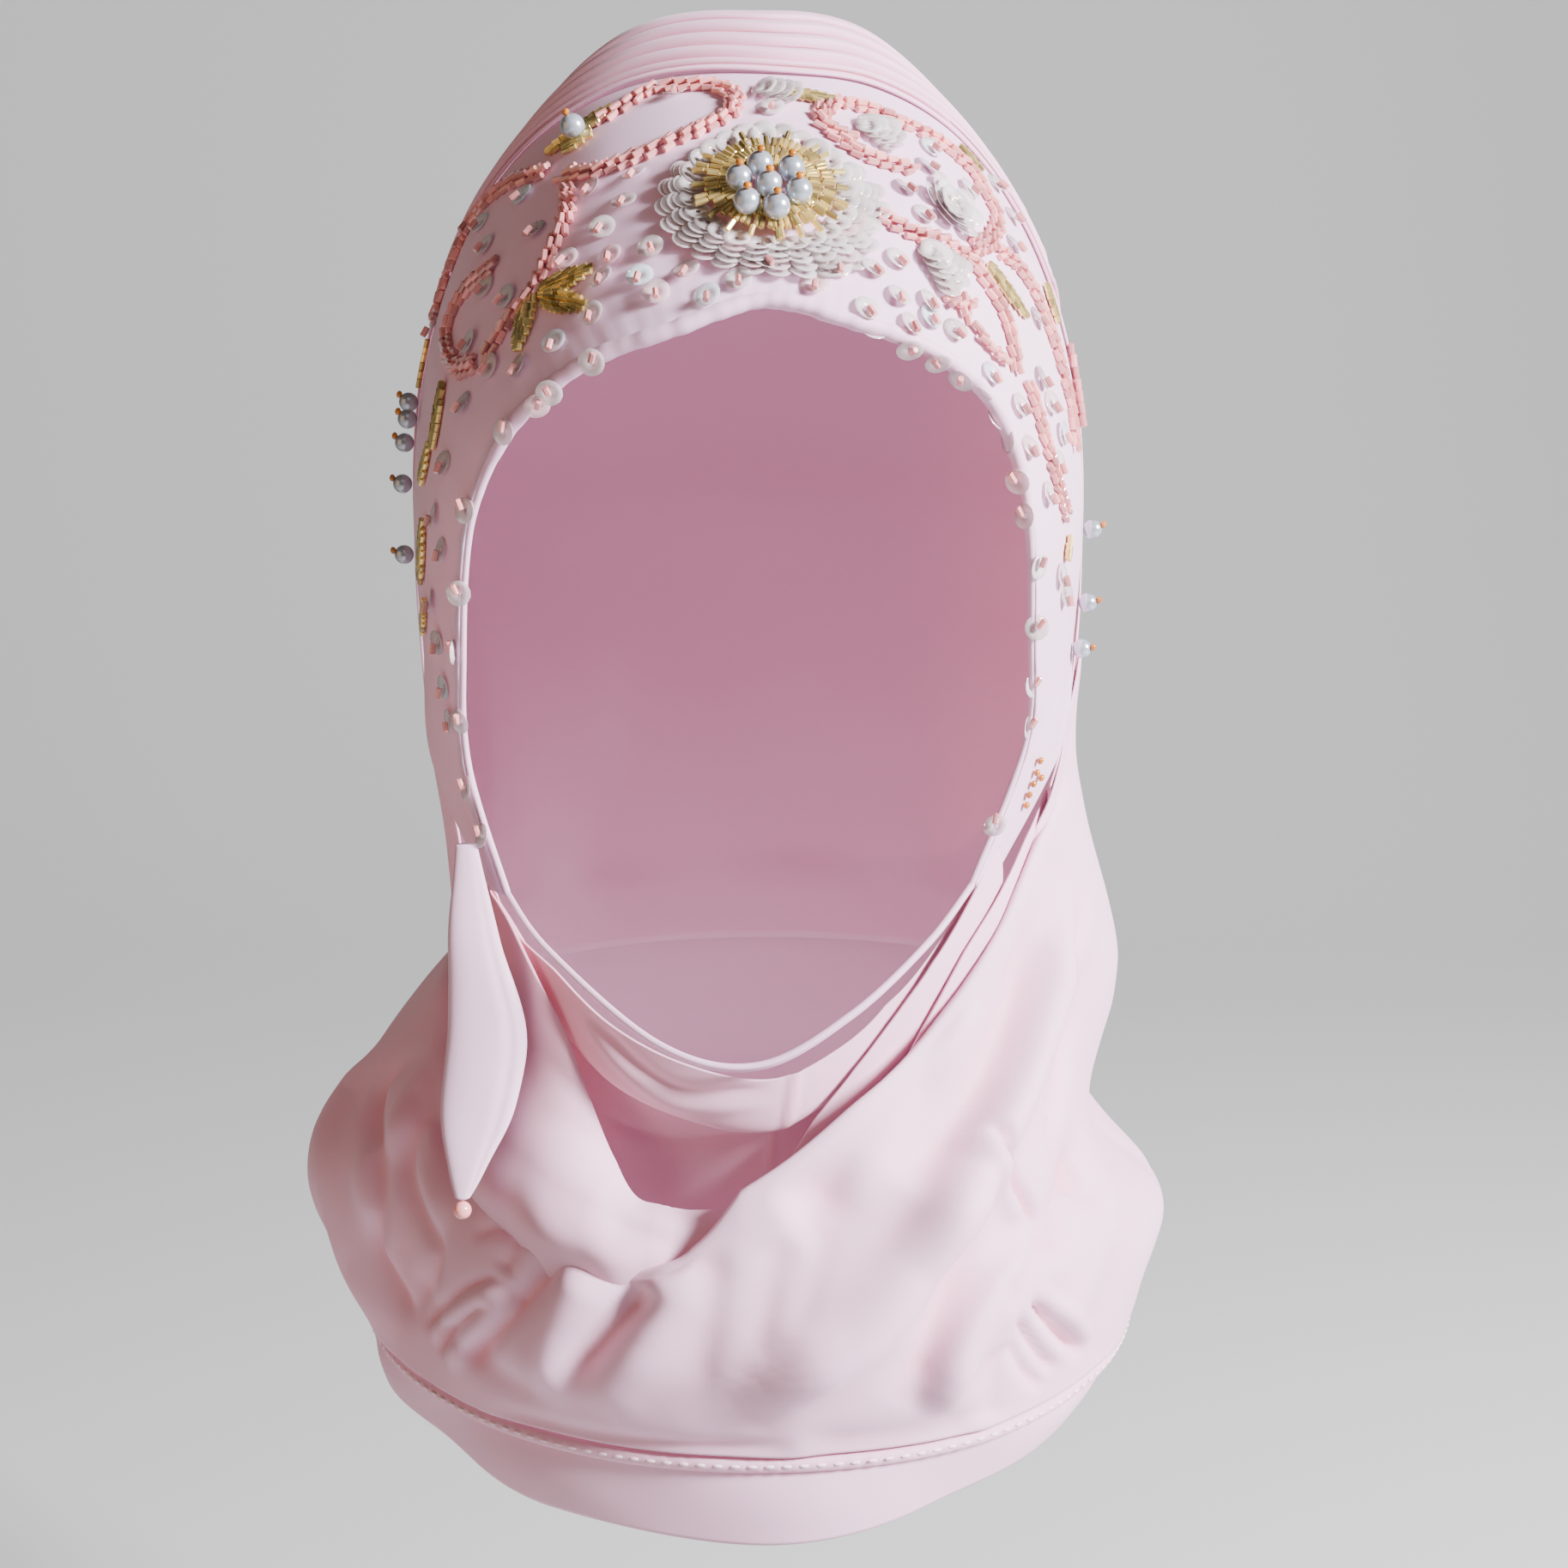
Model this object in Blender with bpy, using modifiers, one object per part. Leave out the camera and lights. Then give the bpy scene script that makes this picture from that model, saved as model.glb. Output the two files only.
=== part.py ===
"""Embellished hijab: a beaded front band, a pleated veil, and a draped neck and shoulder wrap.

All sizes in the tables are millimetres. They are measured from a point 28 mm in front of the seat,
and each mesh is moved to the seat and scaled to metres when it is made. The front of the face
opening looks along -Y, +X is the viewer's right and +Z is up. The part's origin is the seat, the
inside top of the crown, where a head carries the hijab.
"""
import math

import bmesh
import bpy
from mathutils import Vector

MM = 0.001
CLOTH = 1.2
GAP = 0.3
RIM_RADIUS = 2.3
SEAM_RADIUS = 1.6
VEIL_EASE = 0.6
EDGE_CLEAR = 0.9

# Seat: the top of the head form, which becomes the part's origin
SEAT = Vector((0.0, 28.0, 0.0))

# Head form under the cloth: an egg whose half lengths differ front and back, up and down
HEAD_CENTRE = Vector((0.0, 28.0, -122.0))
HALF_WIDTH = 84.5
HALF_FRONT = 128.0
HALF_BACK = 70.0
HALF_UP = 122.0
HALF_DOWN = 165.0

# Roundness of the upper half: 2 is an ellipse, and the forehead slopes back flatter than that
ROUND_SIDE = 2.0
ROUND_FOREHEAD = 1.62
FOREHEAD_SPREAD = 75.0

# Upright axis that the neck and shoulder cloth is draped round
DRAPE_Y = 5.0
DRAPE_GIRTH_RADIUS = 100.0

# Viewpoint of the front picture, which places the ornaments on the band
EYE = Vector((9.0, -550.8, -88.9))
EYE_TILT = math.radians(10.4)
PICTURE_SIZE = 1827.0
PICTURE_FOCAL = 2550.0

# Front band, left jaw over the forehead to right jaw
# Columns: rim x, rim y, rim z, back edge x, back edge y, back edge z
BAND_ROWS = [
    (-56, -50, -207, -60, -44, -207),
    (-66, -40, -178, -77, -17, -181),
    (-65, -51, -150, -84, -3, -144),
    (-61, -61, -119, -85, 6, -104),
    (-50, -70, -98, -77, 4, -72),
    (-34, -78, -85, -61, -5, -44),
    (-14, -82, -78, -31, -20, -24),
    (5, -80, -72, 5, -27, -20),
    (22, -78, -76, 30, -19, -22),
    (41, -71, -82, 54, -8, -35),
    (55, -62, -93, 75, 0, -67),
    (63, -55, -114, 84, 3, -99),
    (66, -49, -147, 85, 1, -136),
    (66, -39, -174, 79, -14, -172),
    (53, -50, -205, 60, -40, -202),
]
BAND_CROWN_FIRST = 4.0
BAND_CROWN_LAST = 10.0
BAND_JAW_FIRST = 0.6
BAND_JAW_LAST = 13.4

# Rim of the face opening under the chin, right jaw to left jaw: x, y, z
CHIN_ROWS = [
    (42, -62, -216),
    (24, -76, -229),
    (3, -82, -239),
    (-19, -79, -235),
    (-45, -62, -218),
]

# Veil from the widest level of the head down
# Columns: height, half width left, half width right, depth to the front, depth to the back
VEIL_SECTIONS = [
    (-122, 84.5, 84.5, 128, 70),
    (-150, 84.5, 84.5, 122, 73),
    (-180, 82.5, 82.5, 114, 75),
    (-205, 79.5, 81.5, 105, 77),
    (-235, 78.0, 81.0, 97, 78),
    (-262, 79.0, 81.0, 95, 79),
]

# Where the crown ends at the back, as a tilt from straight up, and where the curtain's hem lies
VEIL_BACK_TILT = 76.0
VEIL_HEM_ANGLE_LEFT = -57.0
VEIL_HEM_ANGLE_RIGHT = 72.0
VEIL_EDGE_BACK = 1.6
VEIL_HEM_SIDE = -250.0
VEIL_HEM_BACK = -258.0
VEIL_JAW_SHARE = 0.72

# Pleats over the crown: share of the way from the pole to the band, lift over the head
CROWN_PLEATS = [
    (0.14, 0.3),
    (0.30, 0.4),
    (0.52, 0.8),
    (0.68, 2.2),
    (0.76, 1.0),
    (0.82, 2.6),
    (0.88, 1.3),
    (0.94, 3.0),
    (1.00, 1.6),
]

# The crown is a little fuller than the head round its top
CROWN_FULL_LIFT = 3.0
CROWN_FULL_TILT = 14.0
CROWN_FULL_SPREAD = 9.0

# Neck panel in two tiers
# Columns: degrees from the front, then radius and height of the top, fold, tuck and lower edge
NECK_ROWS = [
    (-50, 74.4, -215, 70.4, -226, 67, -228, 66, -268),
    (-35, 77.4, -223, 75.4, -236, 70, -238, 66, -276),
    (-22, 80.9, -233, 79.9, -247, 73, -249, 67, -282),
    (-9, 82.9, -240, 81.4, -253, 74, -255, 69, -286),
    (4, 83.4, -243, 81.9, -255, 75, -257, 70, -288),
    (14, 81.9, -238, 80.4, -249, 74, -251, 70, -284),
    (24, 78.9, -229, 77.4, -240, 72, -242, 68, -276),
    (40, 74.9, -215, 72.4, -226, 69, -228, 66, -268),
]

# Slim fold beside the neck
# Columns: degrees from the front, then radius and height of the top, middle and lower edge
INNER_FOLD_ROWS = [
    (33, 78.6, -222, 79.4, -230, 78.6, -240),
    (26, 79.8, -231, 81.2, -239, 80.4, -250),
    (18, 82.0, -242, 83.6, -250, 82.4, -262),
    (11, 83.4, -253, 84.8, -261, 83.4, -272),
    (5, 84.6, -265, 85.6, -271, 83.8, -280),
]

# Cowl: columns as for the slim fold
COWL_ROWS = [
    (-74, 76.5, -241, 78.2, -250, 79.5, -261),
    (-62, 74.0, -246, 77.5, -253, 80.0, -263),
    (-50, 75.0, -251, 84.0, -256, 89.0, -268),
    (-36, 80.0, -259, 93.0, -261, 98.5, -272),
    (-25, 86.0, -264, 99.0, -266, 105.5, -275),
    (-16, 89.5, -270, 99.5, -271, 105.0, -279.5),
    (-11.5, 90.0, -271.5, 98.2, -272.5, 101.6, -281),
    (-7, 90.5, -272, 96.0, -273, 99.2, -285),
    (2, 89.5, -270, 94.0, -272, 96.0, -281),
    (12, 87.0, -260, 90.5, -263, 92.0, -274),
    (22, 84.0, -249, 86.5, -253, 88.0, -265),
    (31, 81.5, -233, 83.0, -239, 84.5, -252),
    (40, 79.5, -219, 80.5, -225, 81.5, -236),
    (50, 78.2, -208, 78.8, -213, 79.2, -221),
    (60, 77.6, -202, 78.2, -206, 78.8, -213),
]

# Shoulder cape, whose lower edge meets the hem seam
# Columns: degrees from the front, then radius and height of the top, shoulder, waist and belly
CAPE_ROWS = [
    (0, 99, -266, 103, -276, 106, -289, 107.5, -304),
    (15, 94, -250, 99, -264, 104, -281, 107.5, -302),
    (30, 86.5, -237, 93, -255, 101, -274, 106.5, -300),
    (45, 82.5, -221, 87, -244, 97, -270, 104, -298),
    (62, 81, -201, 84.5, -233, 91, -270, 103, -298),
    (85, 84.6, -193, 94, -235, 89, -279, 110, -301),
    (100, 87.5, -204, 96, -238, 92, -280, 111, -302),
    (120, 94.8, -222, 103, -248, 102, -278, 112, -302),
    (150, 101.8, -236, 107, -256, 109, -280, 112, -302),
    (180, 104.3, -238, 109, -258, 112, -280, 112, -302),
    (210, 101.2, -240, 109, -260, 113, -282, 113, -302),
    (240, 91.5, -243, 107, -262, 114, -282, 114, -302),
    (272, 82.5, -247, 100, -269, 114, -286, 115, -302),
    (290, 83.5, -257, 93, -268, 103, -284, 105, -302),
    (305, 88.5, -271, 94, -278, 98, -290, 99, -304),
    (320, 93.5, -275.5, 98.5, -282, 102, -293, 103, -305),
    (335, 100, -277, 103.5, -283, 106, -294, 107, -307),
    (343, 99.5, -280.5, 104, -286, 107, -296, 107.5, -306),
    (346.5, 102.2, -283.6, 104.6, -288, 107, -296, 107.5, -306),
    (350, 103.8, -282.4, 105, -287, 107, -296, 107.5, -306),
    (354, 102.6, -278, 104.5, -284, 106.5, -293, 107.5, -305),
]

# Large folds of the cape, as ridges (lift above 0) and troughs (lift below 0)
# Columns: degrees and height of the start, middle and end, then half width and lift
CAPE_FOLDS = [
    (80, -212, 36, -252, -4, -312, 9, 4.0),
    (50, -288, 28, -292, 21, -316, 6, 2.5),
    (50, -262, 56, -276, 60, -290, 5, -3.0),
    (-58, -264, -78, -276, -58, -294, 6, 3.0),
    (-56, -303, -42, -308, -24, -318, 5, -2.0),
    (100, -292, 88, -300, 70, -318, 6, -2.0),
]

# Hem seam and flounce
# Columns: degrees from the front, seam radius, flounce foot radius, flounce foot height
HEM_ROWS = [
    (0, 102.5, 104, -345),
    (30, 104, 101, -341),
    (55, 101, 96, -337),
    (90, 99, 97, -339),
    (135, 102, 101, -341),
    (180, 103, 102, -342),
    (225, 103, 101, -342),
    (270, 100, 98, -341),
    (305, 99, 95, -341),
    (335, 101, 100, -343),
]
SEAM_HEIGHT = -326.6
FLOUNCE_TOP = -328.6
CAPE_FOOT = -324.2

# Side tie: height, left edge x, right edge x, y, thickness
TIE_ROWS = [
    (-196.0, -68.6, -63.4, -45.5, 2.4),
    (-216.0, -69.0, -57.0, -57.5, 4.0),
    (-236.0, -68.5, -50.5, -64.5, 5.0),
    (-252.0, -69.5, -52.5, -72.0, 4.6),
    (-264.0, -67.0, -58.5, -79.5, 3.4),
    (-270.0, -64.8, -62.2, -83.0, 2.0),
]
TIE_SIDES = 10
TIE_BEAD_RADIUS = 2.1

# Pink bead vines, as points of the front picture
VINES = {
    "vine_left_top": [(700, 140), (720, 130), (760, 106), (800, 101), (838, 103), (853, 118),
                      (845, 137), (812, 152), (750, 181), (700, 199), (660, 206)],
    "vine_left_outer": [(634, 198), (599, 213), (574, 235), (555, 262), (541, 288)],
    "vine_left_inner": [(662, 231), (661, 255), (648, 284), (637, 308), (628, 322)],
    "vine_left_hook": [(590, 378), (573, 407), (556, 425), (534, 425), (523, 401), (527, 373),
                       (539, 347), (556, 328)],
    "vine_right_top": [(958, 147), (962, 131), (978, 122), (1007, 127), (1047, 144), (1088, 163),
                       (1112, 182), (1135, 206), (1149, 231), (1160, 255), (1152, 278)],
    "vine_right_inner": [(987, 171), (1002, 180), (1029, 190), (1061, 198)],
    "vine_right_low": [(1040, 258), (1074, 276), (1101, 286), (1128, 302), (1148, 330),
                       (1165, 360), (1176, 390), (1182, 425)],
    "vine_right_side": [(1180, 300), (1195, 330), (1212, 362), (1224, 395), (1234, 430),
                        (1246, 490)],
    "vine_right_down": [(1198, 446), (1207, 480), (1217, 518), (1228, 556), (1238, 590)],
}
VINE_RADIUS = 1.6
VINE_STEP = 7.0
LEAF_HEIGHT = 1.6

# Gold bead leaves, as points of the front picture
# Columns: foot x, foot y, tip x, tip y, half width in mm
LEAVES = {
    "leaf_left_high": (640, 337, 692, 315, 2.4),
    "leaf_left_low": (642, 352, 684, 358, 2.4),
    "leaf_left_down": (619, 348, 607, 410, 2.6),
    "leaf_pearl_left": (640, 178, 657, 164, 2.2),
    "leaf_pearl_right": (690, 147, 714, 127, 2.2),
    "leaf_pearl_low": (660, 179, 692, 170, 2.2),
    "leaf_temple_left": (507, 520, 519, 446, 2.2),
    "leaf_temple_low": (493, 676, 496, 610, 1.8),
    "leaf_top": (914, 112, 960, 119, 1.8),
    "leaf_right_top": (1116, 174, 1130, 188, 1.4),
    "leaf_right": (1156, 318, 1190, 366, 2.0),
    "leaf_right_side": (1216, 336, 1226, 368, 1.6),
}

# Sequin clusters, as a point of the front picture and a radius in mm
CLUSTERS = {
    "cluster_top": (888, 110, 4.0),
    "cluster_right_top": (1020, 158, 4.6),
    "cluster_right": (1106, 244, 6.6),
    "cluster_right_low": (1092, 318, 5.4),
}

# Flower at the centre of the forehead: a point of the front picture, and its sizes
FLOWER_X = 897.0
FLOWER_Y = 222.0
RAY_RADIUS = 16.2
FLOWER_SCALLOPS = 9
FLOWER_HEIGHT = 1.5

# Outline of the flower's sequins: degrees from the right, anticlockwise, and radius
FLOWER_OUTLINE = [
    (0, 27.0),
    (40, 19.2),
    (90, 20.5),
    (140, 19.2),
    (180, 25.0),
    (225, 26.0),
    (270, 26.0),
    (315, 28.5),
    (338, 25.5),
]

# Pearls of the flower and of the upper left, as points of the front picture
PEARL_RADIUS = 2.95
FLOWER_PEARLS = [(861, 207), (886, 191), (922, 196), (896, 214), (931, 222), (870, 234), (905, 240)]
UPPER_PEARL = (667, 147)
UPPER_PEARL_RADIUS = 2.9

# Small pearls that stand out at the temples: side, degrees from the front, height
TEMPLE_PEARL_RADIUS = 2.4
TEMPLE_PEARLS = [
    (-1, 71, -94),
    (-1, 64, -98),
    (-1, 72, -104),
    (-1, 72, -114),
    (-1, 69, -131),
    (1, 71, -125),
    (1, 69, -143),
    (1, 65, -154),
]

COLOURS = {
    "pink_chiffon": ((0.86, 0.66, 0.68), 0.75, 0.0),
    "band_chiffon": ((0.86, 0.70, 0.73), 0.7, 0.0),
    "pearl": ((0.80, 0.80, 0.84), 0.25, 0.0),
    "gold_bead": ((0.55, 0.42, 0.16), 0.3, 0.9),
    "pink_bead": ((0.88, 0.45, 0.42), 0.25, 0.0),
    "sequin": ((0.86, 0.80, 0.76), 0.25, 0.0),
}


def clear_scene():
    """Remove every object that is in the file."""
    for thing in list(bpy.data.objects):
        bpy.data.objects.remove(thing, do_unlink=True)


def make_material(name, finish):
    """Principled material of a node, in one of the finishes above."""
    colour, roughness, metallic = COLOURS[finish]
    material = bpy.data.materials.new(name + "_" + finish)
    material.use_nodes = True
    shader = material.node_tree.nodes["Principled BSDF"]
    shader.inputs["Base Color"].default_value = (*colour, 1.0)
    shader.inputs["Roughness"].default_value = roughness
    shader.inputs["Metallic"].default_value = metallic
    return material


def add_object(name, data, finish, collection):
    """Put mesh or curve data in the scene as a named object with its material."""
    thing = bpy.data.objects.new(name, data)
    thing.data.materials.append(make_material(name, finish))
    collection.objects.link(thing)
    return thing


def blend(a, b, share):
    """Value between a and b."""
    return a + (b - a) * share


def ease(share):
    """Smooth step from 0 to 1."""
    share = min(1.0, max(0.0, share))
    return share * share * (3.0 - 2.0 * share)


def to_metres(point):
    """Position in metres from the seat."""
    return (point - SEAT) * MM


def curve_row(rows, place, closed=False):
    """Row at a fractional place in a table, on a smooth curve through its rows."""
    count = len(rows)
    first = math.floor(place)
    if not closed:
        first = min(max(first, 0), count - 2)
    t = place - first
    picks = []
    for step in (-1, 0, 1, 2):
        index = first + step
        index = index % count if closed else min(max(index, 0), count - 1)
        picks.append(rows[index])
    row = []
    for a, b, c, d in zip(*picks):
        row.append(b + 0.5 * t * (c - a + t * (2 * a - 5 * b + 4 * c - d + t * (3 * (b - c) + d - a))))
    return row


def table_value(rows, key):
    """Columns after the first of a table whose first column is the key, read between its rows."""
    if (rows[0][0] - key) * (rows[0][0] - rows[-1][0]) <= 0:
        return rows[0][1:]
    for low, high in zip(rows, rows[1:]):
        if (low[0] - key) * (high[0] - key) <= 0:
            share = (key - low[0]) / (high[0] - low[0])
            return [blend(a, b, share) for a, b in zip(low[1:], high[1:])]
    return rows[-1][1:]


def ring_row(rows, angle):
    """Columns after the first of a table that goes all round, read at an angle in degrees."""
    place = angle % 360.0
    ring = rows + [(360.0, *rows[0][1:])]
    for i, (low, high) in enumerate(zip(ring, ring[1:])):
        if low[0] <= place <= high[0]:
            share = (place - low[0]) / (high[0] - low[0])
            return curve_row([row[1:] for row in rows], i + share, closed=True)
    return rows[0][1:]


def head_radius(direction):
    """Distance from the head's centre to its surface along a unit direction."""
    depth = HALF_FRONT if direction[1] < 0 else HALF_BACK
    flat = (direction[0] / HALF_WIDTH) ** 2 + (direction[1] / depth) ** 2
    if direction[2] < 0:
        return 1.0 / math.sqrt(flat + (direction[2] / HALF_DOWN) ** 2)
    angle = math.degrees(math.atan2(abs(direction[0]), -direction[1]))
    power = blend(ROUND_FOREHEAD, ROUND_SIDE, ease(angle / FOREHEAD_SPREAD))
    return (flat ** (power / 2) + (direction[2] / HALF_UP) ** power) ** (-1.0 / power)


def head_height(point):
    """Height of a point over the head's surface, along the line from the head's centre."""
    offset = point - HEAD_CENTRE
    return offset.length - head_radius(offset.normalized())


def head_normal(point):
    """Outward direction of the head's surface at a point near it."""
    slopes = []
    for axis in range(3):
        step = Vector((0, 0, 0))
        step[axis] = 0.5
        slopes.append(head_height(point + step) - head_height(point - step))
    return Vector(slopes).normalized()


def polar(angle, tilt):
    """Unit direction: angle from the front towards +X, tilt from straight up."""
    a = math.radians(angle)
    t = math.radians(tilt)
    return Vector((math.sin(t) * math.sin(a), -math.sin(t) * math.cos(a), math.cos(t)))


def drape_point(angle, radius, height):
    """Point round the upright drape axis."""
    a = math.radians(angle)
    return Vector((radius * math.sin(a), DRAPE_Y - radius * math.cos(a), height))


def on_head(px, py, lift):
    """Point at a height over the head that the front picture shows at a pixel, and its normal."""
    across = (px - PICTURE_SIZE / 2) / PICTURE_FOCAL
    up = (PICTURE_SIZE / 2 - py) / PICTURE_FOCAL
    sight = Vector((across,
                    math.cos(EYE_TILT) + up * math.sin(EYE_TILT),
                    -math.sin(EYE_TILT) + up * math.cos(EYE_TILT)))
    near = 400.0
    while head_height(EYE + sight * near) > lift and near < 600.0:
        near += 2.0
    far = near
    near -= 2.0
    for halving in range(16):
        middle = blend(near, far, 0.5)
        if head_height(EYE + sight * middle) > lift:
            near = middle
        else:
            far = middle
    point = EYE + sight * far
    return point, head_normal(point)


def fullness(point):
    """How far a point stands out from the head form; only the jaw is fuller than it."""
    offset = point - HEAD_CENTRE
    stretch = offset.length / head_radius(offset.normalized())
    return 1.0 + (stretch - 1.0) * ease((-150.0 - point.z) / 30.0)


def rim_point(place):
    """Point of the face opening's rim at a place along the band's rows."""
    row = curve_row(BAND_ROWS, place)
    point = Vector(row[:3])
    offset = point - HEAD_CENTRE
    direction = offset.normalized()
    return HEAD_CENTRE + direction * head_radius(direction) * fullness(point)


def band_point(place, share, lift):
    """Point of the band: share 0 at the rim and 1 at the back edge."""
    row = curve_row(BAND_ROWS, place)
    rim = Vector(row[:3])
    back = Vector(row[3:])
    offset = rim.lerp(back, share) - HEAD_CENTRE
    direction = offset.normalized()
    stand = blend(fullness(rim), fullness(back), share)
    return HEAD_CENTRE + direction * (head_radius(direction) * stand + lift)


def face_out(bm):
    """Turn all faces of an open sheet so that they look away from the wearer."""
    bmesh.ops.recalc_face_normals(bm, faces=bm.faces)
    outward = 0.0
    for face in bm.faces:
        middle = face.calc_center_median() / MM + SEAT
        inside = Vector((0.0, DRAPE_Y, min(middle.z, HEAD_CENTRE.z)))
        outward += face.normal.dot(middle - inside) * face.calc_area()
    if outward < 0.0:
        bmesh.ops.reverse_faces(bm, faces=bm.faces)


def grid_mesh(name, grid, closed=False, pole=None):
    """Mesh of quads through a grid of points, with a fan to a pole where one is given."""
    mesh = bpy.data.meshes.new(name)
    bm = bmesh.new()
    rows = [[bm.verts.new(to_metres(point)) for point in line] for line in grid]
    for upper, lower in zip(rows, rows[1:]):
        count = len(upper)
        for i in range(count if closed else count - 1):
            j = (i + 1) % count
            bm.faces.new((upper[i], lower[i], lower[j], upper[j]))
    if pole is not None:
        tip = bm.verts.new(to_metres(pole))
        for i, vertex in enumerate(rows[0]):
            bm.faces.new((tip, vertex, rows[0][(i + 1) % len(rows[0])]))
    face_out(bm)
    bm.to_mesh(mesh)
    bm.free()
    return mesh


def add_wall(name, mesh, finish, collection, thickness=CLOTH):
    """Cloth sheet: an open surface made a wall, with its thickness on the outer side."""
    thing = add_object(name, mesh, finish, collection)
    wall = thing.modifiers.new("wall", "SOLIDIFY")
    wall.thickness = thickness * MM
    wall.offset = 1.0
    mesh.shade_smooth()
    return thing


def add_tube(name, points, radius, finish, collection, closed=False, sides=8):
    """Round tube along points."""
    data = bpy.data.curves.new(name, "CURVE")
    data.dimensions = "3D"
    data.bevel_depth = radius * MM
    data.bevel_resolution = (sides - 4) // 2
    data.use_fill_caps = True
    line = data.splines.new("POLY")
    line.points.add(len(points) - 1)
    for slot, point in zip(line.points, points):
        slot.co = (*to_metres(point), 1.0)
    line.use_cyclic_u = closed
    return add_object(name, data, finish, collection)


def add_pearl(name, centre, radius, finish, collection):
    """Round bead from a sphere primitive."""
    bpy.ops.mesh.primitive_uv_sphere_add(segments=10, ring_count=5, radius=radius * MM,
                                         location=to_metres(centre))
    bead = bpy.context.object
    bead.name = name
    bead.data.name = name
    bead.data.materials.append(make_material(name, finish))
    bead.data.shade_smooth()
    for holder in list(bead.users_collection):
        holder.objects.unlink(bead)
    collection.objects.link(bead)


def make_band(collection):
    """Beaded front band between the rim and the pleats."""
    grid = []
    along = 36
    across = 6
    for j in range(across + 1):
        line = []
        for i in range(along + 1):
            place = 0.15 + (len(BAND_ROWS) - 1.3) * i / along
            width = (band_point(place, 1.0, 0.0) - band_point(place, 0.0, 0.0)).length
            share = blend((RIM_RADIUS + EDGE_CLEAR) / width, 1.0 - EDGE_CLEAR / width, j / across)
            line.append(band_point(place, share, 0.0))
        grid.append(line)
    add_wall("front_band", grid_mesh("front_band", grid), "band_chiffon", collection)


def rim_loop():
    """Points all round the face opening, on the middle of its rolled edge."""
    points = []
    last = len(BAND_ROWS) - 1
    steps = 42
    for i in range(steps + 1):
        points.append(rim_point(last * i / steps))
    rows = [tuple(points[-1])] + CHIN_ROWS + [tuple(points[0])]
    chin_steps = 14
    for i in range(1, chin_steps):
        points.append(Vector(curve_row(rows, (len(rows) - 1) * i / chin_steps)))
    return points


def make_rim(collection):
    """Rolled edge all round the face opening."""
    add_tube("face_rim", rim_loop(), RIM_RADIUS, "band_chiffon", collection, closed=True, sides=6)


def heading(point):
    """Degrees from straight ahead, round the upright line through the head's centre."""
    return math.degrees(math.atan2(point.x - HEAD_CENTRE.x, HEAD_CENTRE.y - point.y))


def tilt_of(point):
    """Degrees from straight up, seen from the head's centre."""
    offset = point - HEAD_CENTRE
    return math.degrees(math.acos(offset.z / offset.length))


def cap_point(angle, tilt, share, pleat):
    """Point of the crown: share 0 at the pole and 1 at the ring where the crown ends."""
    direction = polar(angle, tilt * share)
    fade = 1.0 - ease((abs(angle) - 75.0) / 60.0)
    off_full = (tilt * share - CROWN_FULL_TILT) / CROWN_FULL_SPREAD
    lift = VEIL_EASE + pleat * fade + CROWN_FULL_LIFT * math.exp(-off_full * off_full)
    return HEAD_CENTRE + direction * (head_radius(direction) + lift)


def curtain_point(angle, height):
    """Point of the veil at the sides and back of the head."""
    a = math.radians(angle)
    left, right, front, back = table_value(VEIL_SECTIONS, min(height, HEAD_CENTRE.z))
    side = right if math.sin(a) > 0 else left
    depth = front if math.cos(a) > 0 else back
    radius = 1.0 / math.hypot(math.sin(a) / side, math.cos(a) / depth)
    if height > HEAD_CENTRE.z:
        radius *= math.sqrt(1.0 - ((height - HEAD_CENTRE.z) / HALF_UP) ** 2)
    radius += VEIL_EASE + 0.8 * math.sin(a * 14.0) ** 2 * ease((-200.0 - height) / 50.0)
    return HEAD_CENTRE + Vector((radius * math.sin(a), -radius * math.cos(a),
                                 height - HEAD_CENTRE.z))


def curtain_edge(crown_place, jaw_place, hem_angle, share):
    """Angle and height of the veil's front edge: down the band's back edge, then back to the hem."""
    jaw = band_point(jaw_place, 1.0, 0.0)
    side = math.copysign(1.0, hem_angle)
    if share < VEIL_JAW_SHARE:
        edge = band_point(blend(crown_place, jaw_place, share / VEIL_JAW_SHARE), 1.0, 0.0)
        return heading(edge) + side * VEIL_EDGE_BACK * share / VEIL_JAW_SHARE, edge.z
    rest = (share - VEIL_JAW_SHARE) / (1.0 - VEIL_JAW_SHARE)
    angle = blend(heading(jaw) + side * VEIL_EDGE_BACK, hem_angle, ease(rest))
    return angle, blend(jaw.z, VEIL_HEM_SIDE, rest)


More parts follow.
